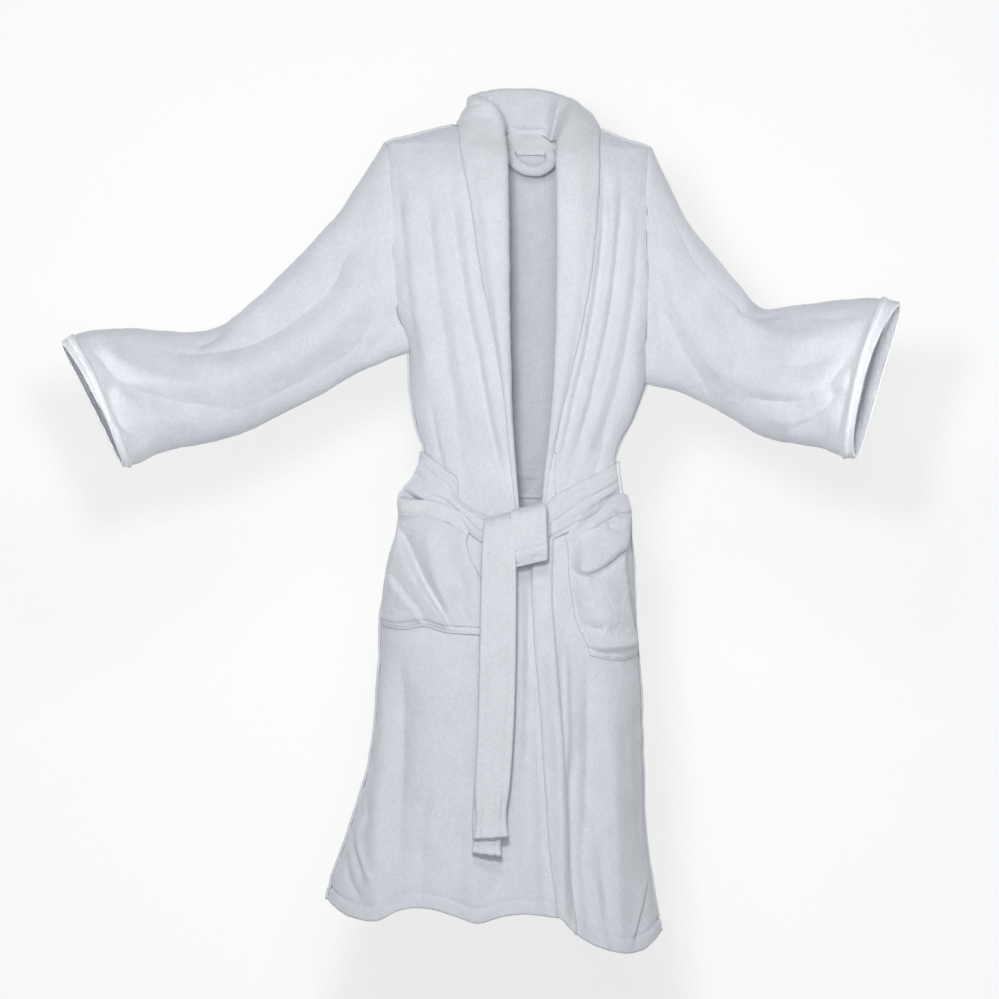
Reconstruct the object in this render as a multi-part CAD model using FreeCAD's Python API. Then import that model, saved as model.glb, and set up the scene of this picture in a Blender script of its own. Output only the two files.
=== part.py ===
"""A plush shawl-collar bathrobe, belted, hanging with both sleeves held out to the sides.

Millimetres, +Z up. The origin is on the back neck, midway between the sewn ends of the hanger loop.
The robe faces -Y, and the wearer's left is +X. Left and right in the names are the wearer's.
The body is a stack of closed rings. Every panel, lapel, pocket and belt run is a layer between two such
stacks, one a little larger than the other, trimmed to its outline as seen from the front.
"""
import FreeCAD
import Part
import math
import os

# ---- driving dimensions -------------------------------------------------------------------------
CLOTH = 5.0             # one layer of plush cloth, pile included
SEAM_GAP = 0.6          # left open between two sewn pieces, so that they stay separate solids
SEAM_Y = -60.0          # plane of the side and shoulder seams
FRONT_LIMIT = -420.0    # beyond everything at the front
BACK_LIMIT = 260.0      # beyond everything at the back
BODY_POWER = 3.0        # a ring is a superellipse: 2 is an ellipse, more is boxier
RING_POINTS = 28

LAPEL_THICK = 11.0      # collar cloth is folded double
BAND_THICK = 7.0
FACING_THICK = 3.0
POCKET_ROOM = 26.0      # how far a filled pocket stands off the panel
BELT_STANDOFF = 9.0     # the belt runs over the front bands
BELT_THICK = 8.0
BELT_WIDTH = 50.0
BELT_END_GAP = 10.0     # each front run stops this far from the knot
BELT_LOOP_OVER = 9.0    # a belt loop stands this far above and below the belt
BELT_LOOP_EASE = 6.0    # and leaves this much room inside, above and below it
KNOT_Y = -168.0
TAIL_THICK = 7.0
LOOP_WIDTH = 12.0       # belt loop, measured front to back
LOOP_THICK = 3.0
HANGER_RADIUS = 5.5     # the hanger loop is a stuffed cloth tube
HANGER_HALF_SPAN = 31.0
CUFF_DEPTH = 48.0
CUFF_SWELL = 2.5        # the turned-back cuff stands this far out of the sleeve
CUFF_LINING = 1.0       # and as far inside it
BORE_OVERRUN = 12.0     # a bore is cut this far past both ends of its tube

# Body rings from the hem up: height, left edge, right edge, depth in front of and behind the seam plane.
BODY_RINGS = [
    (-1300, -330, 214, 126, 108),
    (-1165, -311, 197, 120, 103),
    (-1040, -277, 180, 114, 98),
    (-900, -245, 171, 107, 93),
    (-740, -232, 165, 99, 87),
    (-620, -207, 156, 90, 80),
    (-490, -168, 134, 78, 72),
    (-400, -183, 166, 86, 80),
    (-310, -195, 179, 92, 84),
    (-150, -216, 184, 92, 86),
    (-40, -229, 187, 72, 78),
    (8, -230, 186, 46, 62),
    (26, -182, 146, 30, 50),
    (36, -128, 118, 22, 40),
]

# Edges of the front opening, down from the neck to where the two fronts meet.
OPENING_RIGHT = [(-62, 90), (-46, 24), (-41, -60), (-41, -149), (-36, -275), (-28, -385), (-14, -495), (-9, -590)]
OPENING_LEFT = [(66, 90), (50, 24), (44, -60), (45, -149), (46, -259), (39, -385), (25, -495), (-7, -590)]
# Free edges of the two lapels, down from the shoulder to where each runs out.
LAPEL_EDGE_RIGHT = [(-113, 60), (-110, 20), (-102, -39), (-86, -118), (-66, -228), (-46, -341), (-30, -420)]
LAPEL_EDGE_LEFT = [(100, 60), (103, 8), (99, -50), (94, -99), (85, -182), (74, -275), (58, -385), (40, -463)]
BAND_WIDTH = 36.0

# Hems, each a straight line across the robe from one point to another.
BACK_HEM = [(-400, -1168), (400, -1236)]
FRONT_RIGHT_HEM = [(-400, -1190), (400, -1190)]
FRONT_LEFT_HEM = [(-10, -1200), (300, -1262)]
BAND_FOOT_RIGHT_Z = -1190.0
BAND_FOOT_LEFT_Z = -1194.0
CENTRE_SPLIT_X = -7.5   # the two fronts part here below the belt
NECK_HOLE = (1, -14, 98, 46)   # its middle across and up, half width, half depth

# Front views of the pockets: corners in order, starting at the top right of each.
POCKET_RIGHT = [(-104, -530), (-196, -526), (-222, -738), (-102, -752)]
POCKET_LEFT = [(140, -536), (62, -536), (66, -766), (158, -784)]
POCKET_BAND_HEIGHT = 34.0

# Middle line of the belt: side seam, knot, side seam.
BELT_RIGHT_SIDE = (-175, -498)
BELT_RIGHT_KNOT = (-66, -580)
BELT_LEFT_KNOT = (28, -582)
BELT_LEFT_SIDE = (142, -500)

# The sleeves, from the armhole to the cuff: top point and bottom point as seen from the front, half depth.
SLEEVE_RIGHT = [
    ((-216, 0), (-190, -306), 33),
    ((-308, -89), (-252, -328), 46),
    ((-386, -188), (-330, -356), 60),
    ((-496, -272), (-430, -402), 66),
    ((-610, -280), (-540, -446), 56),
    ((-736, -292), (-638, -483), 40),
]
SLEEVE_LEFT = [
    ((182, -4), (176, -352), 33),
    ((240, -100), (224, -372), 46),
    ((302, -180), (276, -400), 56),
    ((370, -230), (342, -430), 58),
    ((456, -236), (424, -450), 52),
    ((578, -228), (506, -474), 38),
]
ARMPIT_ROOM = 46.0      # the armhole reaches this far below the sleeve, which swings down into it
ARMHOLE_TOP_Z = 60.0    # clear above the shoulder
ARMHOLE_ROOM = 12.0     # the panels end this far inboard of the sleeve's end, which swings in between them

# The two belt tails hang from the knot: pivot, half width, length, slope forward, end hem.
TAIL_FRONT_X, TAIL_BACK_X = -53.0, -58.0
TAIL_TOP_Z = -622.0
TAIL_FRONT_LENGTH, TAIL_BACK_LENGTH = 440.0, 470.0
TAIL_HEM = 16.0


# ---- helpers ------------------------------------------------------------------------------------
def vec(x, y, z):
    return FreeCAD.Vector(x, y, z)


def signed_power(value, power):
    return math.copysign(abs(value) ** power, value)


def superellipse(centre, across, along, a, b_plus, b_minus, power, count=RING_POINTS):
    """Closed smooth wire: half size a along the unit vector across, b_plus and b_minus either way along the other."""
    points = []
    for k in range(count):
        turn = 2 * math.pi * k / count
        u = a * signed_power(math.cos(turn), 2 / power)
        depth = b_plus if math.sin(turn) > 0 else b_minus
        w = depth * signed_power(math.sin(turn), 2 / power)
        points.append(centre + across * u + along * w)
    curve = Part.BSplineCurve()
    curve.interpolate(points, PeriodicFlag=True)
    return Part.Wire(curve.toShape())


def body_stack(grow, memo={}):
    """The body as one filled solid, grown outward by grow."""
    if grow not in memo:
        wires = []
        for z, left, right, front, back in BODY_RINGS:
            lift = grow if z > 0 else 0
            wires.append(superellipse(vec((left + right) / 2, SEAM_Y, z + lift), vec(1, 0, 0), vec(0, 1, 0),
                                      (right - left) / 2 + grow, back + grow, front + grow, BODY_POWER))
        memo[grow] = Part.makeLoft(wires, True, False)
    return memo[grow]


def layer(low, high):
    return body_stack(high).cut(body_stack(low))


def smooth_edge(points):
    curve = Part.BSplineCurve()
    curve.interpolate([vec(x, 0, z) for x, z in points])
    return curve.toShape()


def straight_edges(points):
    return [Part.LineSegment(vec(*_xz(a)), vec(*_xz(b))).toShape() for a, b in zip(points, points[1:])]


def _xz(point):
    return point[0], 0, point[1]


def prism(edges, y_from, y_to):
    """A front outline, drawn in the XZ plane, extruded from y_from to y_to."""
    face = Part.Face(Part.Wire(Part.__sortEdges__(edges)))
    solid = face.extrude(vec(0, y_to - y_from, 0))
    solid.translate(vec(0, y_from, 0))
    return solid


def front_prism(points):
    return prism(straight_edges(points + points[:1]), SEAM_Y, FRONT_LIMIT)


def back_prism(points):
    return prism(straight_edges(points + points[:1]), SEAM_Y, BACK_LIMIT)


def box(low, high):
    return Part.makeBox(high[0] - low[0], high[1] - low[1], high[2] - low[2], vec(*low))


def biggest(shape):
    return max(shape.Solids, key=lambda s: s.Volume)


def save(name, shape, count=1):
    solids = sorted(shape.Solids, key=lambda s: -s.Volume)[:count]
    kept = solids[0] if count == 1 else Part.makeCompound(solids)
    if not kept.isValid():
        print("INVALID", name)
    kept.exportStep("parts/%s.step" % name)
    b = kept.BoundBox
    print("%-18s solids %d of %d  volume %9.0f  box %6.0f %6.0f %6.0f  %6.0f %6.0f %6.0f" % (
        name, count, len(shape.Solids), kept.Volume, b.XMin, b.YMin, b.ZMin, b.XMax, b.YMax, b.ZMax))
    return kept


# ---- outlines -----------------------------------------------------------------------------------
def opening_prism():
    """The V between the fronts, and the thin slit below it down past the hem."""
    right_foot, left_foot = (OPENING_RIGHT[-1][0], -1400), (OPENING_LEFT[-1][0], -1400)
    edges = [smooth_edge(OPENING_RIGHT), smooth_edge(OPENING_LEFT)]
    edges += straight_edges([OPENING_RIGHT[-1], right_foot, left_foot, OPENING_LEFT[-1]])
    edges += straight_edges([OPENING_RIGHT[0], OPENING_LEFT[0]])
    return prism(edges, SEAM_Y - 16, FRONT_LIMIT)


def neck_hole():
    middle_x, middle_z, half_width, half_depth = NECK_HOLE
    wire = superellipse(vec(middle_x, SEAM_Y - 6, middle_z), vec(1, 0, 0), vec(0, 1, 0),
                        half_width, half_depth, half_depth, 2.2)
    return Part.Face(wire).extrude(vec(0, 0, 200))


def armhole_prism(sleeve, side):
    """Everything outboard of the armhole seam, between the shoulder and just under the arm."""
    (top_x, _), (bottom_x, bottom_z), _ = sleeve[0]
    foot = bottom_z - ARMPIT_ROOM
    inner_top, inner_foot = top_x - side * ARMHOLE_ROOM, bottom_x - side * ARMHOLE_ROOM
    outline = [(inner_top, ARMHOLE_TOP_Z), (inner_foot, foot), (side * 400, foot), (side * 400, ARMHOLE_TOP_Z)]
    return prism(straight_edges(outline + outline[:1]), FRONT_LIMIT, BACK_LIMIT)


def below(points, y_from=FRONT_LIMIT, y_to=BACK_LIMIT):
    """Everything below a line across the robe, from left to right."""
    (x0, z0), (x1, z1) = points
    outline = [(x0, z0), (x1, z1), (x1, -1500), (x0, -1500)]
    return prism(straight_edges(outline + outline[:1]), y_from, y_to)


def strip(start, end, width, y_to):
    """A straight strap outline between two points, width measured across it."""
    run = math.hypot(end[0] - start[0], end[1] - start[1])
    nx, nz = -(end[1] - start[1]) / run * width / 2, (end[0] - start[0]) / run * width / 2
    outline = [(start[0] + nx, start[1] + nz), (end[0] + nx, end[1] + nz),
               (end[0] - nx, end[1] - nz), (start[0] - nx, start[1] - nz)]
    return prism(straight_edges(outline + outline[:1]), SEAM_Y, y_to)


# ---- body panels, collar and bands --------------------------------------------------------------
def body_panels():
    shell = layer(-CLOTH, 0)
    for cutter in (armhole_prism(SLEEVE_RIGHT, -1), armhole_prism(SLEEVE_LEFT, 1), neck_hole()):
        shell = shell.cut(cutter)
    back = shell.common(box((-500, SEAM_Y + SEAM_GAP / 2, -1400), (500, BACK_LIMIT, 200)))
    back = back.cut(below(BACK_HEM))
    front = shell.common(box((-500, FRONT_LIMIT, -1400), (500, SEAM_Y - SEAM_GAP / 2, 200)))
    front = front.cut(opening_prism())
    right = front.common(box((-500, FRONT_LIMIT, -1400), (CENTRE_SPLIT_X, 0, 200))).cut(below(FRONT_RIGHT_HEM))
    left = front.common(box((CENTRE_SPLIT_X, FRONT_LIMIT, -1400), (500, 0, 200))).cut(below(FRONT_LEFT_HEM))
    save("back_panel", back)
    save("front_panel_right", right)
    save("front_panel_left", left)


def lapel(opening, free_edge, name):
    """The collar cloth turned back over one front, from the shoulder down to where it runs out."""
    inner = [p for p in opening if p[1] <= 60 and p[1] > free_edge[-1][1]]
    edges = [smooth_edge(inner), smooth_edge(free_edge)]
    edges += straight_edges([inner[0], free_edge[0]]) + straight_edges([inner[-1], free_edge[-1]])
    piece = layer(SEAM_GAP, SEAM_GAP + LAPEL_THICK).common(prism(edges, SEAM_Y - 1, FRONT_LIMIT))
    save(name, piece)


def front_band(side, top_z, name):
    """The facing that edges one front, from the end of its lapel to the hem."""
    foot_z = BAND_FOOT_RIGHT_Z if side < 0 else BAND_FOOT_LEFT_Z
    inner = OPENING_RIGHT[-1][0] if side < 0 else OPENING_LEFT[-1][0] + 1
    high = OPENING_RIGHT if side < 0 else OPENING_LEFT
    upper = [p for p in high if p[1] < top_z]
    inside = [(upper[0][0], top_z)] + upper + [(inner, foot_z)]
    outside = [(x + side * BAND_WIDTH * (0.3 if z == top_z else 1), z) for x, z in inside]
    outline = inside + outside[::-1]
    piece = layer(SEAM_GAP, SEAM_GAP + BAND_THICK).common(front_prism(outline))
    save(name, piece)


def collar_neck():
    """The stand of the shawl collar round the back and sides of the neck, between the tops of the lapels."""
    sections = [(22, 104, 60, 40), (48, 109, 58, 44), (74, 110, 56, 48), (97, 98, 48, 44)]

    def stack(shrink):
        wires = [superellipse(vec(-6, SEAM_Y - 6, z + (3 if shrink and z == 97 else 0)), vec(1, 0, 0), vec(0, 1, 0),
                              a - shrink, back - shrink, front - shrink, 2.4) for z, a, back, front in sections]
        return Part.makeLoft(wires, True, False)

    ring = stack(0).cut(stack(15))
    mouth = front_prism([(-66, 40), (-58, 130), (64, 130), (66, 40)])
    mouth.translate(vec(0, -14, 0))
    low_front = box((-200, FRONT_LIMIT, -50), (200, SEAM_Y + 3, 64))
    ring = ring.cut(mouth).cut(low_front).cut(body_stack(SEAM_GAP))
    save("collar_neck", ring)


def neck_facing():
    """The facing on the inside of the back neck, under the collar seam."""
    outline = [(-72, 30), (-72, -26), (74, -26), (74, 30)]
    piece = layer(-CLOTH - SEAM_GAP - FACING_THICK, -CLOTH - SEAM_GAP).common(back_prism(outline))
    piece = piece.cut(neck_hole()).common(box((-200, SEAM_Y + 20, -60), (200, BACK_LIMIT, 60)))
    save("neck_facing", piece)


def hanger_loop():
    """A cloth tube in a shallow U, drooping from its two sewn ends on the neck facing."""
    y, low = -14.0, -27.0
    points = [vec(-HANGER_HALF_SPAN, y, -1), vec(-24, y - 4, -15), vec(-11, y - 6, -25), vec(2, y - 6, low),
              vec(15, y - 6, -24), vec(26, y - 4, -14), vec(HANGER_HALF_SPAN, y, -1)]
    curve = Part.BSplineCurve()
    curve.interpolate(points)
    spine = Part.Wire(curve.toShape())
    start = curve.tangent(curve.FirstParameter)[0]
    circle = Part.Wire(Part.Circle(points[0], start, HANGER_RADIUS).toShape())
    save("hanger_loop", spine.makePipeShell([circle], True, False))


# ---- sleeves ------------------------------------------------------------------------------------
def sleeve_stack(sections, shrink, overrun):
    """A sleeve as one filled solid; overrun carries both ends straight on, for a clean bore."""
    wires = []
    centres = []
    for (tx, tz), (bx, bz), depth in sections:
        centre = vec((tx + bx) / 2, SEAM_Y, (tz + bz) / 2)
        up = vec((tx - bx) / 2, 0, (tz - bz) / 2)
        tall = up.Length - shrink
        wires.append(superellipse(centre, vec(0, 1, 0), up.normalize(), depth - shrink, tall, tall, 2.2, 20))
        centres.append(centre)
    solid = Part.makeLoft(wires, True, False)
    if overrun:
        for end, inner in ((0, 1), (-1, -2)):
            away = (centres[end] - centres[inner]).normalize() * overrun
            solid = solid.fuse(Part.Face(wires[end]).extrude(away))
    return solid


def cuff_cutter(sections, inset):
    """A large block outboard of a plane parallel to the cuff's mouth, inset back along the sleeve."""
    (tx, tz), (bx, bz), _ = sections[-1]
    along = vec(tx - bx, 0, tz - bz).normalize()
    side = 1 if tx > 0 else -1
    outward = vec(along.z * side, 0, -along.x * side)
    middle = vec((tx + bx) / 2, SEAM_Y, (tz + bz) / 2) - outward * inset
    block = box((-400, -300, 0), (400, 300, 500))
    block.Placement = FreeCAD.Placement(middle, FreeCAD.Rotation(vec(0, 0, 1), outward))
    return block


def sleeve(sections, side_name):
    tube = sleeve_stack(sections, 0, 0).cut(sleeve_stack(sections, CLOTH, BORE_OVERRUN))
    save("sleeve_" + side_name, tube.cut(cuff_cutter(sections, CUFF_DEPTH)))
    cuff = sleeve_stack(sections, -CUFF_SWELL, 0).cut(sleeve_stack(sections, CLOTH + CUFF_LINING, BORE_OVERRUN))
    save("cuff_" + side_name, cuff.common(cuff_cutter(sections, CUFF_DEPTH - SEAM_GAP)))


# ---- belt and pockets ---------------------------------------------------------------------------
def belt_outline(margin=0.0):
    """The belt's two front runs and its run round the back, as one trimming solid."""
    width = BELT_WIDTH + 2 * margin
    knot_gap = BELT_END_GAP - margin
    right = strip((BELT_RIGHT_SIDE[0] - 60, BELT_RIGHT_SIDE[1]), BELT_RIGHT_SIDE, width, FRONT_LIMIT)
    right = right.fuse(strip(BELT_RIGHT_SIDE, BELT_RIGHT_KNOT, width, FRONT_LIMIT))
    left = strip(BELT_LEFT_SIDE, (BELT_LEFT_SIDE[0] + 60, BELT_LEFT_SIDE[1]), width, FRONT_LIMIT)
    left = left.fuse(strip(BELT_LEFT_KNOT, BELT_LEFT_SIDE, width, FRONT_LIMIT))
    z0, z1 = BELT_RIGHT_SIDE[1], BELT_LEFT_SIDE[1]
    back = back_prism([(-400, z0 - width / 2), (400, z1 - width / 2), (400, z1 + width / 2), (-400, z0 + width / 2)])
    gap = box((BELT_RIGHT_KNOT[0] + 4 - knot_gap, FRONT_LIMIT, -900), (BELT_LEFT_KNOT[0] - 4 + knot_gap, SEAM_Y, 0))
    return right.fuse(left).cut(gap).fuse(back)


def belt_waist():
    piece = layer(BELT_STANDOFF, BELT_STANDOFF + BELT_THICK).common(belt_outline())
    save("belt_waist", piece)


def padded_bar(sections, along):
    """A rounded solid through oval sections: centre, half size front to back, half size along the unit vector."""
    wires = [superellipse(vec(*centre), vec(0, 1, 0), along, deep, tall, tall, 3.2, 16)
             for centre, deep, tall in sections]
    return Part.makeLoft(wires, True, False)


def belt_knot():
    """The wrap of the knot, a band rising to the left, over a fold that hangs from it."""
    y = KNOT_Y
    wrap = padded_bar([((-68, y, -590), 13, 21), ((-46, y - 5, -587), 18, 25), ((-18, y - 7, -583), 20, 27),
                       ((8, y - 5, -580), 18, 27), ((27, y, -578), 12, 25)], vec(0, 0, 1))
    fold = padded_bar([((5, y - 4, -556), 10, 22), ((5, y - 12, -575), 16, 24), ((5, y - 12, -605), 15, 24),
                       ((5, y - 8, -632), 13, 23), ((5, y - 6, -645), 11, 22)], vec(1, 0, 0))
    save("belt_knot", wrap.fuse(fold))


def belt_tail(x, y_top, y_foot, length, name):
    """A flat strap that leans forward a little, on the swell of the skirt, with a turned hem at its end."""
    half = BELT_WIDTH / 2 - 1
    strap = box((-half, -TAIL_THICK / 2, -length), (half, TAIL_THICK / 2, 0))
    hem = box((-half - 1.5, -TAIL_THICK / 2 - 1.5, -length), (half + 1.5, TAIL_THICK / 2 + 1.5, TAIL_HEM - length))
    piece = strap.fuse(hem)
    lean = math.degrees(math.atan2(y_top - y_foot, length))
    piece.Placement = FreeCAD.Placement(vec(x, y_top, TAIL_TOP_Z), FreeCAD.Rotation(vec(1, 0, 0), -lean))
    save(name, piece)


def belt_loop(x_side, z_mid, name, side):
    """A thin upright strip over the belt at the side seam, its ends turned in to the side panel."""
    reach = BELT_STANDOFF + BELT_THICK + SEAM_GAP
    tall = BELT_WIDTH + 2 * BELT_LOOP_OVER
    strip_box = box((-450, SEAM_Y - LOOP_WIDTH / 2, z_mid - tall / 2), (450, SEAM_Y + LOOP_WIDTH / 2, z_mid + tall / 2))
    room = BELT_WIDTH / 2 + BELT_LOOP_EASE
    inner_box = box((-450, SEAM_Y - LOOP_WIDTH, z_mid - room), (450, SEAM_Y + LOOP_WIDTH, z_mid + room))
    half_space = box((min(0, side * 450), FRONT_LIMIT, -900), (max(0, side * 450), BACK_LIMIT, 0))
    outer = layer(SEAM_GAP, reach + LOOP_THICK).common(strip_box).common(half_space)
    room = layer(SEAM_GAP - 1, reach).common(inner_box).common(half_space)
    save(name, outer.cut(room))


def pocket(corners, name):
    """A patch pocket that stands open: its front, closed at both sides and along the foot."""
    def inset(points, side_in, foot_in, top_up):
        centre_x = sum(x for x, _ in points) / 4
        moved = []
        for k, (x, z) in enumerate(points):
            toward = 1 if x < centre_x else -1
            moved.append((x + toward * side_in, z + (top_up if k < 2 else foot_in)))
        return moved

    keep_out = layer(-1, BELT_STANDOFF + BELT_THICK + 30).common(belt_outline(2.0))
    full = layer(SEAM_GAP, SEAM_GAP + POCKET_ROOM + CLOTH).common(front_prism(corners))
    room = layer(SEAM_GAP - 1, SEAM_GAP + POCKET_ROOM).common(front_prism(inset(corners, CLOTH, CLOTH, 60)))
    tray = full.cut(room).cut(keep_out)
    top_z = (corners[0][1] + corners[1][1]) / 2 - POCKET_BAND_HEIGHT
    upper = box((-400, FRONT_LIMIT, top_z), (400, SEAM_Y, 0))
    lower = box((-400, FRONT_LIMIT, -1400), (400, SEAM_Y, top_z - SEAM_GAP))
    save(name, tray.common(lower))
    save(name.replace("pocket_", "pocket_band_"), tray.common(upper))


os.makedirs("parts", exist_ok=True)
body_panels()
lapel(OPENING_RIGHT, LAPEL_EDGE_RIGHT, "lapel_right")
lapel(OPENING_LEFT, LAPEL_EDGE_LEFT, "lapel_left")
front_band(-1, LAPEL_EDGE_RIGHT[-1][1] - 2, "front_band_right")
front_band(1, LAPEL_EDGE_LEFT[-1][1] - 2, "front_band_left")
collar_neck()
neck_facing()
hanger_loop()
sleeve(SLEEVE_RIGHT, "right")
sleeve(SLEEVE_LEFT, "left")
belt_waist()
belt_knot()
belt_tail(TAIL_FRONT_X, -205.0, -225.0, TAIL_FRONT_LENGTH, "belt_tail_front")
belt_tail(TAIL_BACK_X, -192.0, -212.0, TAIL_BACK_LENGTH, "belt_tail_back")
belt_loop(-180, BELT_RIGHT_SIDE[1], "belt_loop_right", -1)
belt_loop(150, BELT_LEFT_SIDE[1], "belt_loop_left", 1)
pocket(POCKET_RIGHT, "pocket_right")
pocket(POCKET_LEFT, "pocket_left")
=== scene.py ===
"""The looks of a plush shawl-collar bathrobe, belted, hanging with both sleeves held out.

Shapes are worked out in millimetres in the row's frame and made in metres. X is across, to the wearer's left,
Z is up and -Y is the front. Points written (x, z) are on the front view.

Most of the (x, z) lists below are positions read off the picture and multiplied by 1.57 mm by a
converter. They are not worked out from the frame, and should not be copied as an example.
"""
import bpy
import numpy as np
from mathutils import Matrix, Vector


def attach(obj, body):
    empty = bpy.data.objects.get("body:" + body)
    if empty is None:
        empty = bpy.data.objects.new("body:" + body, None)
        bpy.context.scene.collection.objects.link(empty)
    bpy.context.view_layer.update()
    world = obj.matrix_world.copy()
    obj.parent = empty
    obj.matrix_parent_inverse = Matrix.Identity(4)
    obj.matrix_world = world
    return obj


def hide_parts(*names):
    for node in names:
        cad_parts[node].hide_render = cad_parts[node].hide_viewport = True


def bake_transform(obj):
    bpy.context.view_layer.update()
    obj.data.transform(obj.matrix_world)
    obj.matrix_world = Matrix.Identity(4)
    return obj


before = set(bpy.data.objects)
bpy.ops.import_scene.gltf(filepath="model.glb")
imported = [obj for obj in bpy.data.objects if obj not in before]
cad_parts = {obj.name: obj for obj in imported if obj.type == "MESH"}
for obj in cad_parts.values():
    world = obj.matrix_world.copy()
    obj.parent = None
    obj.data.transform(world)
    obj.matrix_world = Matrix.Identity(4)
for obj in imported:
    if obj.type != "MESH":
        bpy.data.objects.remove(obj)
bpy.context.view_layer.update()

MM = 0.001
SEAM_Y = -60.0          # plane of the side and shoulder seams
POWER = 2.6             # body rings are superellipses
CLOTH = 4.5             # one layer of plush


# ---- curves -------------------------------------------------------------------------------------
def smooth(keys):
    """A smooth function through (t, value) keys that doesn't overshoot; flat beyond the ends."""
    keys = sorted(keys)
    t = np.array([k[0] for k in keys], float)
    v = np.array([k[1] for k in keys], float)
    step = np.diff(t)
    slope = np.diff(v) / step
    m = np.zeros(len(t))
    m[0], m[-1] = slope[0], slope[-1]
    for i in range(1, len(t) - 1):
        if slope[i - 1] * slope[i] > 0:
            a, b = 2 * step[i] + step[i - 1], step[i] + 2 * step[i - 1]
            m[i] = (a + b) / (a / slope[i - 1] + b / slope[i])

    def value(x):
        x = np.clip(np.asarray(x, float), t[0], t[-1])
        i = np.clip(np.searchsorted(t, x) - 1, 0, len(step) - 1)
        h = step[i]
        s = (x - t[i]) / h
        return ((1 + 2 * s) * (1 - s) ** 2 * v[i] + s * (1 - s) ** 2 * h * m[i]
                + s * s * (3 - 2 * s) * v[i + 1] + s * s * (s - 1) * h * m[i + 1])
    return value


def down(points):
    """x as a smooth function of z, through points (x, z)."""
    return smooth([(z, x) for x, z in points])


def across(points):
    """z as a smooth function of x, through points (x, z)."""
    return smooth(points)


def spline(points, t):
    """Points of any dimension joined smoothly and read at t from 0 to 1, evenly by point number."""
    p = np.array(points, float)
    place = np.clip(np.asarray(t, float), 0, 1) * (len(p) - 1)
    i = np.clip(place.astype(int), 0, len(p) - 2)
    s = (place - i)[..., None]
    a, b = p[np.clip(i - 1, 0, None)], p[i]
    c, d = p[i + 1], p[np.clip(i + 2, None, len(p) - 1)]
    return 0.5 * (2 * b + (c - a) * s + (2 * a - 5 * b + 4 * c - d) * s ** 2
                  + (3 * b - a - 3 * c + d) * s ** 3)


def ease(x):
    x = np.clip(x, 0, 1)
    return x * x * (3 - 2 * x)


# ---- noise --------------------------------------------------------------------------------------
def lattice(i, j, k, seed):
    n = (i * 374761393 + j * 668265263 + k * 2147483647 + seed * 974634777) & 0xFFFFFFFF
    n = ((n ^ (n >> 13)) * 1274126177) & 0xFFFFFFFF
    return ((n ^ (n >> 16)) & 0xFFFF) / 32767.5 - 1


def noise(p, size, seed=0):
    """Smooth noise from -1 to 1 at points p, with bumps about size across."""
    q = p / size
    base = np.floor(q).astype(np.int64)
    f = ease(q - base)
    out = 0
    for di in (0, 1):
        for dj in (0, 1):
            for dk in (0, 1):
                w = ((f[..., 0] if di else 1 - f[..., 0]) * (f[..., 1] if dj else 1 - f[..., 1])
                     * (f[..., 2] if dk else 1 - f[..., 2]))
                out = out + w * lattice(base[..., 0] + di, base[..., 1] + dj, base[..., 2] + dk, seed)
    return out


# ---- folds --------------------------------------------------------------------------------------
RIDGE, VALLEY, PLEAT = "ridge", "valley", "pleat"


def fold_height(x, z, folds):
    """Sum of the folds at points (x, z).
    Each is (kind, points, width, height) and dies away at both its ends."""
    total = np.zeros(np.shape(x))
    for kind, points, width, height in folds:
        line = spline(points, np.linspace(0, 1, 8 * (len(points) - 1) + 1))
        best = np.full(np.shape(x), 1e9)
        side = np.zeros(np.shape(x))
        place = np.zeros(np.shape(x))
        run = np.concatenate([[0], np.cumsum(np.hypot(*np.diff(line, axis=0).T))])
        for k in range(len(line) - 1):
            ax, az = line[k]
            dx, dz = line[k + 1] - line[k]
            size = dx * dx + dz * dz
            s = np.clip(((x - ax) * dx + (z - az) * dz) / size, 0, 1)
            ex, ez = x - ax - s * dx, z - az - s * dz
            d = np.hypot(ex, ez)
            near = d < best
            best = np.where(near, d, best)
            side = np.where(near, np.sign(dx * ez - dz * ex), side)
            place = np.where(near, (run[k] + s * np.sqrt(size)) / run[-1], place)
        fade = ease(place / 0.22) * ease((1 - place) / 0.22)
        if kind == RIDGE:
            total += height * fade * np.exp(-(best / width) ** 2)
        elif kind == VALLEY:
            total -= height * fade * (0.55 * np.exp(-(best / (1.35 * width)) ** 2)
                                      + 0.45 * np.exp(-(np.sqrt(best ** 2 + 4) - 2) / (0.6 * width)))
        else:
            s = side * best
            turn = np.tanh(s / 2.5)
            total += height * fade * 0.5 * turn * np.exp(-np.abs(s) / width)
    return total


# ---- meshes -------------------------------------------------------------------------------------
def unit(v):
    return v / np.maximum(np.linalg.norm(v, axis=-1, keepdims=True), 1e-9)


def normals(p, closed):
    """Normals of a grid of points; closed where the grid's second axis comes round to its start."""
    dv = np.gradient(p, axis=0)
    if closed:
        du = (np.roll(p, -1, axis=1) - np.roll(p, 1, axis=1)) / 2
    else:
        du = np.gradient(p, axis=1)
    return unit(np.cross(du, dv))


def pile(p, n, strength=1.0):
    """The pile's unevenness, as small bumps along the normals."""
    lumps = 0.45 * noise(p, 7.0, 1) + 0.30 * noise(p, 3.4, 2) + 0.5 * noise(p, 26.0, 3)
    return p + n * (strength * lumps)[..., None]


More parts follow.
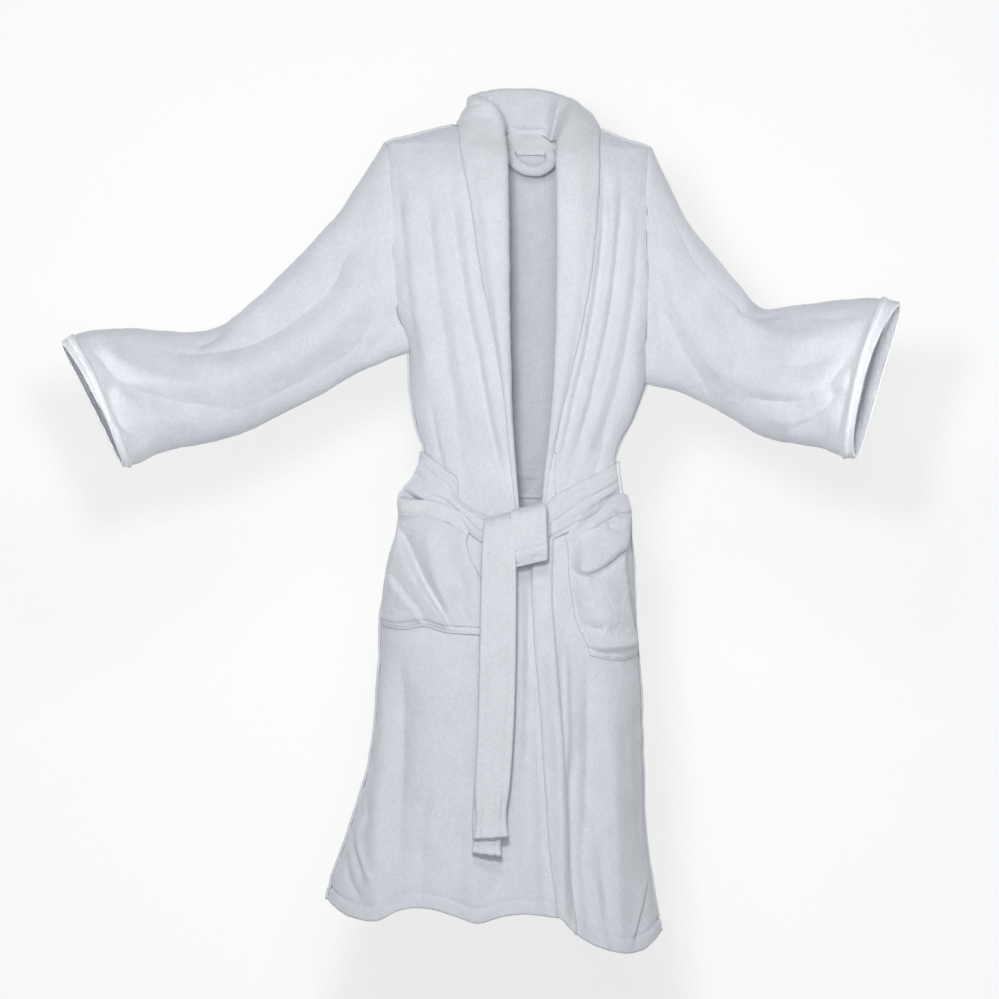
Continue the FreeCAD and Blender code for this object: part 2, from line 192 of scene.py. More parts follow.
def shell(p, thickness, closed=False, flip=False, strength=1.0, taper=None):
    """Closed mesh of a cloth layer: outer points p on a grid, and the inner face one thickness under them.
    Returns vertices and faces. The rim is rounded."""
    n = normals(p, closed) * (-1 if flip else 1)
    p = pile(p, n, strength)
    t = thickness if taper is None else thickness * taper[..., None]
    inner = p - n * t
    rows, cols = p.shape[:2]
    verts = [p.reshape(-1, 3), inner.reshape(-1, 3)]
    index = np.arange(rows * cols).reshape(rows, cols)
    faces = []

    def quads(a, b, c, d):
        faces.append(np.stack([a.ravel(), b.ravel(), c.ravel(), d.ravel()], 1))

    wrap = np.concatenate([index, index[:, :1]], 1) if closed else index
    low, high = wrap[:-1, :-1], wrap[:-1, 1:]
    low2, high2 = wrap[1:, :-1], wrap[1:, 1:]
    shift = rows * cols
    quads(low, high, high2, low2)
    quads(low + shift, low2 + shift, high2 + shift, high + shift)
    used = 2 * shift
    rims = [(index[0], p[0] - p[1], False), (index[-1], p[-1] - p[-2], True)]
    if not closed:
        rims += [(index[:, 0], p[:, 0] - p[:, 1], True), (index[:, -1], p[:, -1] - p[:, -2], False)]
    flat_outer, flat_inner = verts[0], verts[1]
    corner = {}
    for ids, away, turn in rims:
        away = unit(away)
        middle = (flat_outer[ids] + flat_inner[ids]) / 2
        half = np.linalg.norm(flat_outer[ids] - flat_inner[ids], axis=1, keepdims=True) / 2
        ring = middle + away * half * 0.75
        own = np.arange(len(ids)) + used
        for k, place in ((0, ids[0]), (-1, ids[-1])):
            if closed:
                continue
            if int(place) in corner:
                own[k] = corner[int(place)]
            else:
                corner[int(place)] = own[k]
        verts.append(ring)
        used += len(ids)
        if closed:
            ids, own = np.append(ids, ids[0]), np.append(own, own[0])
        for a, b in ((ids, own), (own, ids + shift)):
            if turn:
                quads(a[:-1], a[1:], b[1:], b[:-1])
            else:
                quads(a[1:], a[:-1], b[:-1], b[1:])
    return np.concatenate(verts), np.concatenate(faces)


def join(*meshes):
    verts, faces, count = [], [], 0
    for v, f in meshes:
        verts.append(v)
        faces.append(f + count)
        count += len(v)
    return np.concatenate(verts), np.concatenate(faces)


def make(name, mesh, material, flip=False):
    verts, faces = mesh
    if flip:
        faces = faces[:, ::-1]
    data = bpy.data.meshes.new(name)
    data.vertices.add(len(verts))
    data.vertices.foreach_set("co", (verts * MM).astype(np.float32).ravel())
    data.loops.add(faces.size)
    data.loops.foreach_set("vertex_index", faces.astype(np.int32).ravel())
    data.polygons.add(len(faces))
    data.polygons.foreach_set("loop_start", np.arange(0, faces.size, 4, dtype=np.int32))
    data.polygons.foreach_set("loop_total", np.full(len(faces), 4, np.int32))
    data.polygons.foreach_set("use_smooth", np.ones(len(faces), bool))
    data.update(calc_edges=True)
    data.validate()
    o = bpy.data.objects.new(name, data)
    bpy.context.scene.collection.objects.link(o)
    data.materials.append(material)
    return o


def add(name, mesh, material, body, nodes, flip=False):
    """A finished piece, riding on a body and standing for its CAD nodes."""
    o = make(name, mesh, material, flip)
    if isinstance(body, str):
        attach(o, body)
    else:
        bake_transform(o)
    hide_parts(*nodes)
    return o


# ---- the body's rings ---------------------------------------------------------------------------
LEFT_EDGE = down([(-120, 46), (-186.8, 28.3), (-229.2, 15.7), (-239, -50), (-237, -150), (-221, -240),
                  (-193.1, -306.2), (-185.3, -384.7), (-172.7, -442.7), (-168, -463.2), (-168.8, -478.9),
                    (-174.3, -494.6), (-180.6, -507.1), (-193.1, -521.2), (-205.7, -536.9),
                    (-206.5, -547.9), (-204.1, -565.2), (-212, -604.5),
                  (-221.4, -635.9), (-230.8, -698.6), (-234.7, -737.9), (-240.2, -855.6), (-252.8, -949.9),
                  (-281, -1059.8), (-309.3, -1161.8), (-322, -1230)])
RIGHT_EDGE = down([(92, 46), (142.9, 23.6), (186.8, 7.9), (197, -60), (201, -170), (192, -270),
                   (179, -354.8), (161.7, -408.2), (139.7, -447.5), (130.3, -472.6), (128.7, -491.4),
                     (131.9, -518.1), (134.2, -535.4), (147.6, -555.8), (153.9, -571.5), (153.9, -596.6),
                     (158.6, -635.9), (164.8, -761.5), (169.6, -855.6), (172.7, -949.9),
                   (180.6, -1059.8), (197.8, -1169.7), (204, -1250)])
FRONT_DEPTH = smooth([(46, 10), (36, 24), (16, 42), (0, 54), (-40, 74), (-150, 90), (-310, 92), (-400, 86),
                      (-485, 76),
                      (-560, 84), (-640, 92), (-740, 99), (-900, 107), (-1060, 114), (-1250, 122)])
BACK_DEPTH = smooth([(46, 40), (36, 49), (16, 61), (0, 67), (-40, 78), (-150, 86), (-310, 84), (-400, 78),
                     (-485, 70),
                     (-560, 76), (-640, 82), (-740, 87), (-900, 93), (-1060, 99), (-1250, 106)])


def ring_frame(z):
    left, right = LEFT_EDGE(z), RIGHT_EDGE(z)
    return (left + right) / 2, (right - left) / 2


def signed(v, power):
    return np.sign(v) * np.abs(v) ** power


def angle_at(x, z):
    """Where a front-view point lies round the ring: 0 at the +X side, a quarter turn at the front."""
    c, a = ring_frame(z)
    return np.arccos(signed(np.clip((x - c) / a, -1, 1), POWER / 2))


def ring_point(turn, z, off, folds=True):
    """A point of the body at angle turn and height z, off out from the cloth's outer face."""
    turn, z, off = (np.asarray(k, float) for k in np.broadcast_arrays(turn, z, off))
    c, a = ring_frame(z)
    co, si = np.cos(turn), np.sin(turn)
    depth = np.where(si >= 0, FRONT_DEPTH(z), BACK_DEPTH(z))
    x = c + a * signed(co, 2 / POWER)
    y = SEAM_Y - depth * signed(si, 2 / POWER)
    nx = signed(co, 2 - 2 / POWER) / a
    ny = -signed(si, 2 - 2 / POWER) / depth
    size = np.maximum(np.hypot(nx, ny), 1e-9)
    nx, ny = nx / size, ny / size
    h = off + (body_folds(x, z, turn) if folds else 0)
    return np.stack([x + nx * h, y + ny * h, z + 0 * h], -1)


def skirt(z, start=-560.0, full=-1150.0):
    return ease((start - z) / (start - full))


FRONT_FOLDS = [
    # right chest
    (VALLEY, [(-166.4, -15.7), (-158.6, -117.8), (-142.9, -243.4), (-124, -368.9), (-95.8, -494.6)], 11, 5),
    (VALLEY, [(-133.5, 7.9), (-120.9, -117.8), (-100.5, -243.4), (-75.4, -384.7), (-45.5, -526)], 9, 6),
    (RIDGE, [(-150.7, -7.9), (-139.7, -133.5), (-119.3, -259.1), (-98.9, -384.7), (-70.7, -510.2)], 12, 5),
    (RIDGE, [(-193.1, -23.6), (-185.3, -133.5), (-171.1, -274.8), (-146, -416.1)], 14, 5),
    (VALLEY, [(-89.5, -274.8), (-70.7, -384.7), (-44, -510.2)], 6, 4),
    (RIDGE, [(-108.3, -70.7), (-89.5, -212), (-64.4, -353.2), (-36.1, -510.2)], 9, 5),
    (VALLEY, [(-212, -23.6), (-201, -133.5), (-188.4, -243.4), (-172.7, -353.2)], 9, 4),
    # left chest
    (VALLEY, [(114.6, 7.9), (113, -117.8), (95.8, -259.1), (64.4, -400.4), (33, -526)], 7, 6),
    (VALLEY, [(142.9, -15.7), (136.6, -133.5), (117.8, -274.8), (84.8, -416.1), (45.5, -526)], 8, 6),
    (VALLEY, [(168, -102), (161.7, -212), (142.9, -337.6), (108.3, -447.5), (76.9, -518.1)], 9, 6),
    (RIDGE, [(128.7, 0), (125.6, -125.6), (106.8, -266.9), (73.8, -408.2), (39.2, -526)], 8, 6),
    (RIDGE, [(155.4, -31.4), (150.7, -149.2), (131.9, -290.4), (95.8, -431.8), (55, -522.8)], 9, 5),
    (RIDGE, [(105.2, -70.7), (97.3, -164.8), (78.5, -290.4), (48.7, -431.8), (26.7, -533.8)], 7, 4),
    # gathers over the belt
    (VALLEY, [(-157, -384.7), (-149.2, -447.5), (-133.5, -507.1)], 5, 4),
    (VALLEY, [(-124, -400.4), (-111.5, -463.2), (-89.5, -541.6)], 5, 4),
    (VALLEY, [(-64.4, -431.8), (-48.7, -494.6), (-36.1, -557.4)], 5, 3),
    (VALLEY, [(127.2, -400.4), (111.5, -463.2), (92.6, -518.1)], 5, 4),
    (VALLEY, [(92.6, -431.8), (69.1, -486.7), (48.7, -533.8)], 5, 3),
    # right side of the skirt
    (VALLEY, [(-205.7, -761.5), (-202.5, -887.1), (-204.1, -1012.7), (-208.8, -1177.5)], 14, 8),
    (RIDGE, [(-230.8, -761.5), (-233.9, -934.2), (-246.5, -1216.8)], 16, 8),
    (VALLEY, [(-244.9, -910.6), (-259.1, -989.1), (-249.6, -1067.6)], 5, 5),
    (VALLEY, [(-262.2, -1004.8), (-281, -1075.5), (-255.9, -1146.1)], 5, 6),
    (VALLEY, [(-292, -1091.2), (-285.7, -1138.2), (-262.2, -1177.5)], 5, 5),
    (RIDGE, [(-268.5, -1012.7), (-266.9, -1091.2), (-237.1, -1154)], 6, 5),
    (RIDGE, [(-142.9, -777.1), (-152.3, -981.2), (-164.8, -1122.5)], 26, 5),
    (RIDGE, [(-98.9, -981.2), (-89.5, -1091.2), (-83.2, -1248.2)], 18, 10),
    (VALLEY, [(-158.6, -981.2), (-171.1, -1091.2), (-177.4, -1248.2)], 16, 7),
    (RIDGE, [(-18.8, -628), (-17.3, -761.5), (-18.8, -855.6), (-26.7, -997)], 6, 6),
    (PLEAT, [(0, -1193.2), (-4.7, -1150.8), (-12.6, -1106.9), (-15.7, -1012.7), (-14.1, -934.2),
             (-9.4, -840), (-7.9, -745.8), (-7.9, -635.9)], 9, 9),
    (VALLEY, [(-48.7, -1059.8), (-39.2, -1122.5), (-61.2, -1177.5)], 9, 5),
    (VALLEY, [(-23.6, -1012.7), (-25.1, -1091.2), (-22, -1177.5)], 5, 4),
    (RIDGE, [(1.6, -761.5), (3.1, -949.9), (7.9, -1201)], 4, 3),
    # left side of the skirt
    (RIDGE, [(31.4, -698.6), (34.5, -824.2), (42.4, -949.9), (47.1, -1091.2), (48.7, -1263.9)], 12, 11),
    (RIDGE, [(53.4, -761.5), (55, -887.1), (56.5, -997)], 5, 5),
    (VALLEY, [(59.7, -918.5), (61.2, -1059.8), (64.4, -1201)], 7, 9),
    (VALLEY, [(86.4, -761.5), (87.9, -887.1), (86.4, -997), (80.1, -1091.2), (92.6, -1216.8)], 10, 7),
    (RIDGE, [(117.8, -792.9), (127.2, -981.2), (133.5, -1122.5), (136.6, -1263.9)], 18, 8),
    (VALLEY, [(166.4, -840), (168, -965.6), (174.3, -1083.3)], 6, 5),
    (PLEAT, [(152.3, -1197.9), (166.4, -1158.7), (180.6, -1113.1), (186.8, -1091.2)], 12, 11),
    (RIDGE, [(95.8, -1091.2), (105.2, -1154), (117.8, -1224.6)], 7, 4),
    (VALLEY, [(102, -1044), (113, -1106.9), (120.9, -1169.7)], 6, 3),
]


def back_waves(turn, z):
    """Soft fluting of the back and sides, drawn in at the belt."""
    full = skirt(z, -470, -1150)
    flute = 9 * np.sin(7 * turn + 0.6 * np.sin(z / 230)) + 5 * np.sin(11 * turn + 1.3 + z / 400)
    chest = ease((z + 470) / 60) * ease((20 - z) / 80)
    upper = 3 * np.sin(9 * turn + z / 170) * chest
    gather = 3.0 * np.sin(26 * turn + 1.5 * np.sin(z / 50)) * np.exp(-((z + 500) / 55) ** 2)
    return flute * full + upper + gather


def body_folds(x, z, turn):
    front = ease(np.sin(turn) / 0.45)
    back = ease((-np.sin(turn) - 0.12) / 0.75)
    z = np.broadcast_to(z, np.shape(x))
    h = np.zeros(np.shape(x))
    if np.any(front > 0):
        h = h + front * fold_height(x, z, FRONT_FOLDS)
    if np.any(back > 0):
        h = h + back * back_waves(turn, z)
    p = np.stack([x, 0 * x, z], -1)
    return h + 1.6 * noise(p, 60.0, 11) + 0.8 * noise(p, 24.0, 12)


# ---- materials ----------------------------------------------------------------------------------
def plush(name, color, pile_size=1.0, quilt=False):
    """Velour pile: fine tangled bumps, a few brushed patches, a soft sheen at grazing angles."""
    m = bpy.data.materials.new(name)
    m.use_nodes = True
    tree = m.node_tree
    tree.nodes.clear()

    def node(kind, **inputs):
        n = tree.nodes.new(kind)
        for key, value in inputs.items():
            n.inputs[key.replace("_", " ")].default_value = value
        return n

    link = tree.links.new
    out = node("ShaderNodeOutputMaterial")
    cloth = node("ShaderNodeBsdfPrincipled", Roughness=0.92)
    cloth.inputs["Specular IOR Level"].default_value = 0.15
    cloth.inputs["Sheen Weight"].default_value = 0.35
    cloth.inputs["Sheen Roughness"].default_value = 0.45
    cloth.inputs["Sheen Tint"].default_value = (0.95, 0.97, 1.0, 1)
    place = node("ShaderNodeTexCoord")

    def noise_node(scale, detail, rough, stretch=(1, 1, 1)):
        squeeze = tree.nodes.new("ShaderNodeMapping")
        squeeze.inputs["Scale"].default_value = stretch
        link(place.outputs["Object"], squeeze.inputs["Vector"])
        n = node("ShaderNodeTexNoise", Scale=scale, Detail=detail, Roughness=rough)
        link(squeeze.outputs["Vector"], n.inputs["Vector"])
        return n

    brushed = noise_node(38.0, 3.0, 0.55, (1, 1, 0.55))
    tufts = noise_node(330.0 / pile_size, 3.0, 0.6, (1, 1, 0.7))
    hairs = noise_node(1100.0 / pile_size, 2.0, 0.6)
    tone = tree.nodes.new("ShaderNodeValToRGB")
    tone.color_ramp.elements[0].position = 0.25
    tone.color_ramp.elements[0].color = tuple(0.93 * c for c in color) + (1,)
    tone.color_ramp.elements[1].position = 0.75
    tone.color_ramp.elements[1].color = tuple(color) + (1,)
    link(brushed.outputs["Fac"], tone.inputs["Fac"])
    fleck = tree.nodes.new("ShaderNodeValToRGB")
    fleck.color_ramp.elements[0].position = 0.36
    fleck.color_ramp.elements[0].color = (0.91, 0.914, 0.92, 1)
    fleck.color_ramp.elements[1].position = 0.62
    fleck.color_ramp.elements[1].color = (1, 1, 1, 1)
    link(tufts.outputs["Fac"], fleck.inputs["Fac"])
    blend = tree.nodes.new("ShaderNodeMix")
    blend.data_type = "RGBA"
    blend.blend_type = "MULTIPLY"
    blend.inputs[0].default_value = 1.0
    link(tone.outputs["Color"], blend.inputs[6])
    link(fleck.outputs["Color"], blend.inputs[7])
    link(blend.outputs[2], cloth.inputs["Base Color"])
    bump_big = node("ShaderNodeBump", Strength=0.35, Distance=0.0014)
    bump_small = node("ShaderNodeBump", Strength=0.45, Distance=0.0006)
    link(tufts.outputs["Fac"], bump_big.inputs["Height"])
    link(hairs.outputs["Fac"], bump_small.inputs["Height"])
    link(bump_big.outputs["Normal"], bump_small.inputs["Normal"])
    link(bump_small.outputs["Normal"], cloth.inputs["Normal"])
    link(cloth.outputs["BSDF"], out.inputs["Surface"])
    return m


WHITE = (0.80, 0.825, 0.87)
panel_cloth = plush("plush_panel", WHITE)
collar_cloth = plush("plush_collar", (0.81, 0.835, 0.875))
trim_cloth = plush("plush_trim", (0.82, 0.84, 0.88), 0.9)
# painted light: the neck facing gets a lighter white than the rest of the robe, so it shows bright where it lies in
# shade inside the neck
facing_painted_light_cloth = plush("plush_facing_painted_light", (0.90, 0.91, 0.93), 0.9)
belt_cloth = plush("plush_belt", (0.81, 0.835, 0.875), 0.85)

# ---- outlines -----------------------------------------------------------------------------------
TOP_Z = 45.0
ROWS_FOOT_Z = -1200.0     # rows of points end here before they are drawn down to a hem
LAYERS_MEET_Z = -620.0    # above it a front follows its opening, below it the overlap of the skirt
FRONT_HEM = across([(-315.6, -1168.1), (-284.2, -1188.5), (-244.9, -1194.8), (-205.7, -1177.5),
                    (-182.1, -1172.8), (-158.6, -1174.4), (-119.3, -1185.4), (-83.2, -1196.3),
                    (-42.4, -1185.4),
                   (-11, -1182.2), (39.2, -1188.5)])
LEFT_HEM = across([(22, -1185.4), (42.4, -1188.5), (55, -1199.5), (73.8, -1216.8), (116.2, -1238.7),
                   (147.6, -1245), (171.1, -1241.9), (194.7, -1224.6), (205.7, -1210.5)])

RIGHT_OPENING = down([(-64, 90), (-45.5, 39.2), (-40.8, 0), (-37.7, -15.7), (-37.7, -149.2),
                                   (-37.7, -321.9), (-25.1, -541.6), (-14.1, -604.5)])
LEFT_OPENING = down([(64, 90), (48.7, 39.2), (42.4, 15.7), (42.4, -321.9), (22, -541.6), (3.1, -612.3)])
TOP_LAYER_EDGE = down([(3.1, -612.3), (1.6, -667.2), (6.3, -761.5), (14.1, -855.6), (22, -981.2),
                       (28.3, -1091.2), (39.2, -1196.3), (42.4, -1263.9)])
UNDER_LAYER_EDGE = down([(-14.1, -604.5), (22, -698.6), (39.2, -855.6), (55, -1012.7), (67.5, -1196.3),
                         (70.7, -1263.9)])


def joined(high, low, z, at, reach=30.0):
    w = ease((z - at + reach) / (2 * reach))
    return w * high(z) + (1 - w) * low(z)


ARM_RIGHT_Z, ARM_RIGHT_R = (16 - 306) / 2, (16 + 306) / 2
ARM_LEFT_Z, ARM_LEFT_R = (8 - 353) / 2, (8 + 353) / 2
ARM_DEPTH = 50.0


def arm_angle(z, middle, radius):
    """How far the armhole's edge lies from the side, as an angle round the ring, at height z."""
    depth = ARM_DEPTH * np.sqrt(np.clip(1 - ((z - middle) / radius) ** 2, 0, 1))
    return np.arcsin(np.clip(depth / FRONT_DEPTH(z), 0, 1) ** (POWER / 2))


def arm_angle_back(z, middle, radius):
    depth = ARM_DEPTH * np.sqrt(np.clip(1 - ((z - middle) / radius) ** 2, 0, 1))
    return np.arcsin(np.clip(depth / BACK_DEPTH(z), 0, 1) ** (POWER / 2))


def heights(rows, foot=ROWS_FOOT_Z):
    """Row heights: close together over the shoulder, where the rings close in."""
    near = np.linspace(TOP_Z, 0, rows // 9, endpoint=False)
    return np.concatenate([near, np.linspace(0, foot, rows - len(near))])


def hang(z, hem):
    """Stretches the foot of a panel down to its hem line."""
    return z + (hem - ROWS_FOOT_Z) * ease((-880 - z) / 320)


def hem_groove(z, hem, up=21.0):
    """The sewn line over a turned hem, and the slight swell of the double cloth under it."""
    d = z - (hem + up)
    return -2.4 * np.exp(-(d / 2.6) ** 2) + 1.4 * ease(-d / 5)


# ---- body panels --------------------------------------------------------------------------------
z = heights(430)[:, None]
u = np.linspace(0, 1, 84)[None, :]
edge = joined(RIGHT_OPENING, UNDER_LAYER_EDGE, z, LAYERS_MEET_Z)
side_turn = np.pi - arm_angle(z, ARM_RIGHT_Z, ARM_RIGHT_R)
turn = side_turn + (angle_at(edge, z) - side_turn) * u
flat_x = ring_point(turn, z, 0, False)[..., 0]
hem = FRONT_HEM(flat_x)
under = -6.0 * ease((flat_x - TOP_LAYER_EDGE(z) + 34) / 26) * ease((-600 - z) / 40)
real_z = hang(z, hem)
p = ring_point(turn, z + 0 * u, under + hem_groove(real_z, hem))
p[..., 2] = real_z
add("front_right", shell(p, CLOTH, flip=True), panel_cloth, "robe", ["front_panel_right"],
    flip=True)

edge = joined(LEFT_OPENING, TOP_LAYER_EDGE, z, LAYERS_MEET_Z)
side_turn = arm_angle(z, ARM_LEFT_Z, ARM_LEFT_R)
turn = side_turn + (angle_at(edge, z) - side_turn) * u
flat_x = ring_point(turn, z, 0, False)[..., 0]
hem = LEFT_HEM(flat_x)
real_z = hang(z, hem)
p = ring_point(turn, z + 0 * u, 1.0 + hem_groove(real_z, hem))
p[..., 2] = real_z
add("front_left", shell(p, CLOTH), panel_cloth, "robe", ["front_panel_left"])

u = np.linspace(0, 1, 190)[None, :]
side_right = np.pi + arm_angle_back(z, ARM_RIGHT_Z, ARM_RIGHT_R)
side_left = 2 * np.pi - arm_angle_back(z, ARM_LEFT_Z, ARM_LEFT_R)
turn = side_right + (side_left - side_right) * u
flat_x = ring_point(turn, z, 0, False)[..., 0]
hem = FRONT_HEM(flat_x[:, :1]) * (1 - ease(u)) + LEFT_HEM(flat_x[:, -1:]) * ease(u)
real_z = hang(z, hem)
p = ring_point(turn, z + 0 * u, hem_groove(real_z, hem))
p[..., 2] = real_z
add("back_panel_cloth", shell(p, CLOTH, flip=True), panel_cloth, "robe", ["back_panel"],
    flip=True)


# ---- sleeves ------------------------------------------------------------------------------------
RIGHT_SLEEVE_TOP = [(-229.2, 17.3), (-281, -70.7), (-334.4, -135), (-395.6, -196.2), (-449, -246.5),
                    (-499.3, -277.9), (-566.8, -279.5), (-637.4, -274.8), (-700.2, -281), (-736.3, -298.3)]
RIGHT_SLEEVE_FOOT = [(-193.1, -306.2), (-240.2, -325), (-290.4, -348.5), (-348.5, -381.5),
                     (-411.3, -412.9), (-471, -438), (-527.5, -452.2), (-582.5, -463.2), (-618.6, -478.9),
                     (-642.1, -485.1)]
LEFT_SLEEVE_TOP = [(186.8, 9.4), (208.8, -44), (241.8, -105.2), (281, -155.4), (320.3, -205.7),
                   (359.5, -244.9), (422.3, -238.6), (485.1, -230.8), (536.9, -227.7), (579.3, -235.5)]
LEFT_SLEEVE_FOOT = [(179, -354.8), (204.1, -361.1), (238.6, -370.5), (276.3, -386.2), (314, -408.2),
                    (356.4, -433.3), (414.5, -447.5), (456.9, -455.3), (482, -467.9), (510.2, -474.1)]
SLEEVE_DEPTHS = [ARM_DEPTH, 52, 55, 58, 60, 60, 57, 52, 44, 37]

RIGHT_SLEEVE_FOLDS = [
    (VALLEY, [(-274.8, -94.2), (-303, -196.2), (-362.7, -255.9), (-441.2, -298.3), (-535.4, -310.9),
              (-629.6, -298.3)], 15, 11),
    (RIDGE, [(-249.6, -133.5), (-281, -227.7), (-354.8, -298.3), (-449, -337.6), (-551.1, -340.7)], 18, 9),
    (VALLEY, [(-229.2, -212), (-268.5, -298.3), (-334.4, -347), (-425.5, -389.4), (-511.8, -416.1)], 14, 7),
    (VALLEY, [(-695.5, -287.3), (-667.2, -334.4), (-613.9, -368.9), (-535.4, -392.5), (-449, -400.4)], 11,
     10),
    (RIDGE, [(-676.7, -293.6), (-635.9, -331.3), (-574.6, -356.4), (-496.1, -368.9)], 10, 7),
    (RIDGE, [(-661, -353.2), (-606, -397.2), (-519.7, -423.9)], 10, 6),
    (VALLEY, [(-676.7, -381.5), (-645.3, -428.6), (-590.3, -450.6)], 8, 5),
    (RIDGE, [(-299.9, -102), (-347, -180.6), (-417.6, -240.2), (-480.4, -266.9)], 12, 6),
    (VALLEY, [(-469.4, -259.1), (-497.7, -287.3), (-535.4, -296.7)], 6, 7),
    (VALLEY, [(-208.8, -227.7), (-224.5, -282.6), (-268.5, -321.9)], 8, 5),
]
LEFT_SLEEVE_FOLDS = [
    (VALLEY, [(194.7, -141.3), (215.1, -259.1), (249.6, -329.7), (299.9, -400.4)], 10, 9),
    (RIDGE, [(205.7, -117.8), (233.9, -235.5), (277.9, -309.3), (336, -384.7)], 12, 8),
    (VALLEY, [(212, -78.5), (262.2, -180.6), (320.3, -237.1), (372.1, -255.9)], 9, 7),
    (RIDGE, [(240.2, -133.5), (290.4, -219.8), (343.8, -277.9), (422.3, -298.3), (493, -277.9)], 13, 9),
    (VALLEY, [(259.1, -196.2), (325, -293.6), (406.6, -331.3), (488.3, -306.2)], 11, 9),
    (RIDGE, [(288.9, -298.3), (343.8, -356.4), (422.3, -372.1), (482, -340.7)], 12, 6),
    (VALLEY, [(320.3, -376.8), (398.8, -387.8), (466.3, -356.4), (504, -298.3)], 9, 7),
    (RIDGE, [(354.8, -403.5), (422.3, -412.9), (482, -381.5)], 10, 6),
    (VALLEY, [(400.4, -431.8), (445.9, -409.8), (488.3, -361.1)], 8, 7),
    (VALLEY, [(309.3, -237.1), (356.4, -252.8), (409.8, -240.2)], 5, 9),
    (VALLEY, [(194.7, -227.7), (205.7, -306.2), (221.4, -361.1)], 7, 5),
    (VALLEY, [(422.3, -255.9), (477.3, -259.1), (519.7, -246.5)], 6, 3),
]


def sleeve_points(top, foot, folds, side, t, turn, seed, mouth_tilt):
    """Sleeve surface at t along it and turn round it: 0 at the top edge, a quarter turn at the front."""
    a, b = spline(top, t), spline(foot, t)
    middle, up = (a + b) / 2, (a - b) / 2
    depth = smooth([(k / (len(SLEEVE_DEPTHS) - 1), d) for k, d in enumerate(SLEEVE_DEPTHS)])(t)
    co, si = np.cos(turn), np.sin(turn)
    along = unit(np.stack([-up[..., 1], up[..., 0]], -1)) * -side
    tilt = -(mouth_tilt * si + 0.55 * mouth_tilt * si * si) * ease((t - 0.8) / 0.2)
    flat = signed(si, 0.9)
    x = middle[..., 0] + up[..., 0] * co + along[..., 0] * tilt
    zz = middle[..., 1] + up[..., 1] * co + along[..., 1] * tilt
    y = SEAM_Y - depth * flat
    # the first stretch starts on the edge of the armhole
    zc, rc = (ARM_RIGHT_Z, ARM_RIGHT_R) if side < 0 else (ARM_LEFT_Z, ARM_LEFT_R)
    arm_z = zc + rc * co
    front = ARM_DEPTH * np.abs(si)
    ring_depth = np.where(si >= 0, FRONT_DEPTH(arm_z), BACK_DEPTH(arm_z))
    swing = np.arcsin(np.clip(front / ring_depth, 0, 1) ** (POWER / 2))
    ring_turn = np.where(si >= 0, swing, -swing)
    ring_turn = ring_turn if side > 0 else np.pi - ring_turn
    start = ring_point(ring_turn, arm_z, -1.0, False)
    w = ease(t / 0.16)[..., None]
    p = start * (1 - w) + np.stack([x, y, zz], -1) * w
    n = np.stack([up[..., 0] * co / np.linalg.norm(up, axis=-1), -si,
                  up[..., 1] * co / np.linalg.norm(up, axis=-1)], -1)
    n = unit(n)
    front_side = ease(si / 0.5)
    back_side = ease(-si / 0.5)
    h = front_side * fold_height(p[..., 0], p[..., 2], [(k, line, 1.35 * wide, hh) for k, line, wide,
                                                        hh in folds])
    mirrored = [(k, [(q[0] + side * 14, q[1] - 12) for q in line], w2 * 1.1, hh * 0.8) for k, line, w2,
                hh in folds[:6]]
    h = h + back_side * fold_height(p[..., 0], p[..., 2], mirrored)
    h = h * ease(t / 0.1)
    h = h + ease(t / 0.15) * (2.4 * noise(p, 55.0, seed) + 1.0 * noise(p, 22.0, seed + 1))
    return p + n * h[..., None]


def sleeve(name, top, foot, folds, side, seed, cuff_start, tilt, blend_from, blend_to):
    turn = np.linspace(0, 2 * np.pi, 200, endpoint=False)[None, :]
    t = np.linspace(0, cuff_start, 190)[:, None]
    p = sleeve_points(top, foot, folds, side, t + 0 * turn, turn + 0 * t, seed, tilt)
    body = "sleeve_" + name
    flip = side > 0
    add("sleeve_" + name + "_cloth", shell(p, CLOTH, closed=True, flip=flip), panel_cloth,
        ("robe", body, blend_from, blend_to), ["sleeve_" + name], flip=flip)
    t = np.linspace(cuff_start - 0.004, 1, 34)[:, None]
    p = sleeve_points(top, foot, folds, side, t + 0 * turn, turn + 0 * t, seed, tilt)
    n = normals(p, True) * (-1 if flip else 1)
    swell = 2.6 * ease((t - cuff_start) / 0.02) * ease((1 - t) / 0.012 + 0.5) - 1.2
    p = p + n * (swell + 0 * turn)[..., None]
    add("cuff_" + name + "_band", shell(p, 7.0, closed=True, flip=flip), trim_cloth, body, ["cuff_" + name],
        flip=flip)


sleeve("right", RIGHT_SLEEVE_TOP, RIGHT_SLEEVE_FOOT, RIGHT_SLEEVE_FOLDS, -1, 21, 0.935, 7.5,
       (-0.216, -0.060, -0.145), (-0.386, -0.060, -0.165))
sleeve("left", LEFT_SLEEVE_TOP, LEFT_SLEEVE_FOOT, LEFT_SLEEVE_FOLDS, 1, 31, 0.925, 15.5,
       (0.190, -0.060, -0.172), (0.350, -0.060, -0.182))


# ---- collar -------------------------------------------------------------------------------------
def on_front(points, off):
    """Front-view points laid on the body, off out from the cloth."""
    x = np.array([q[0] for q in points], float)
    zz = np.array([q[1] for q in points], float)
    return ring_point(angle_at(x, zz), zz, off)


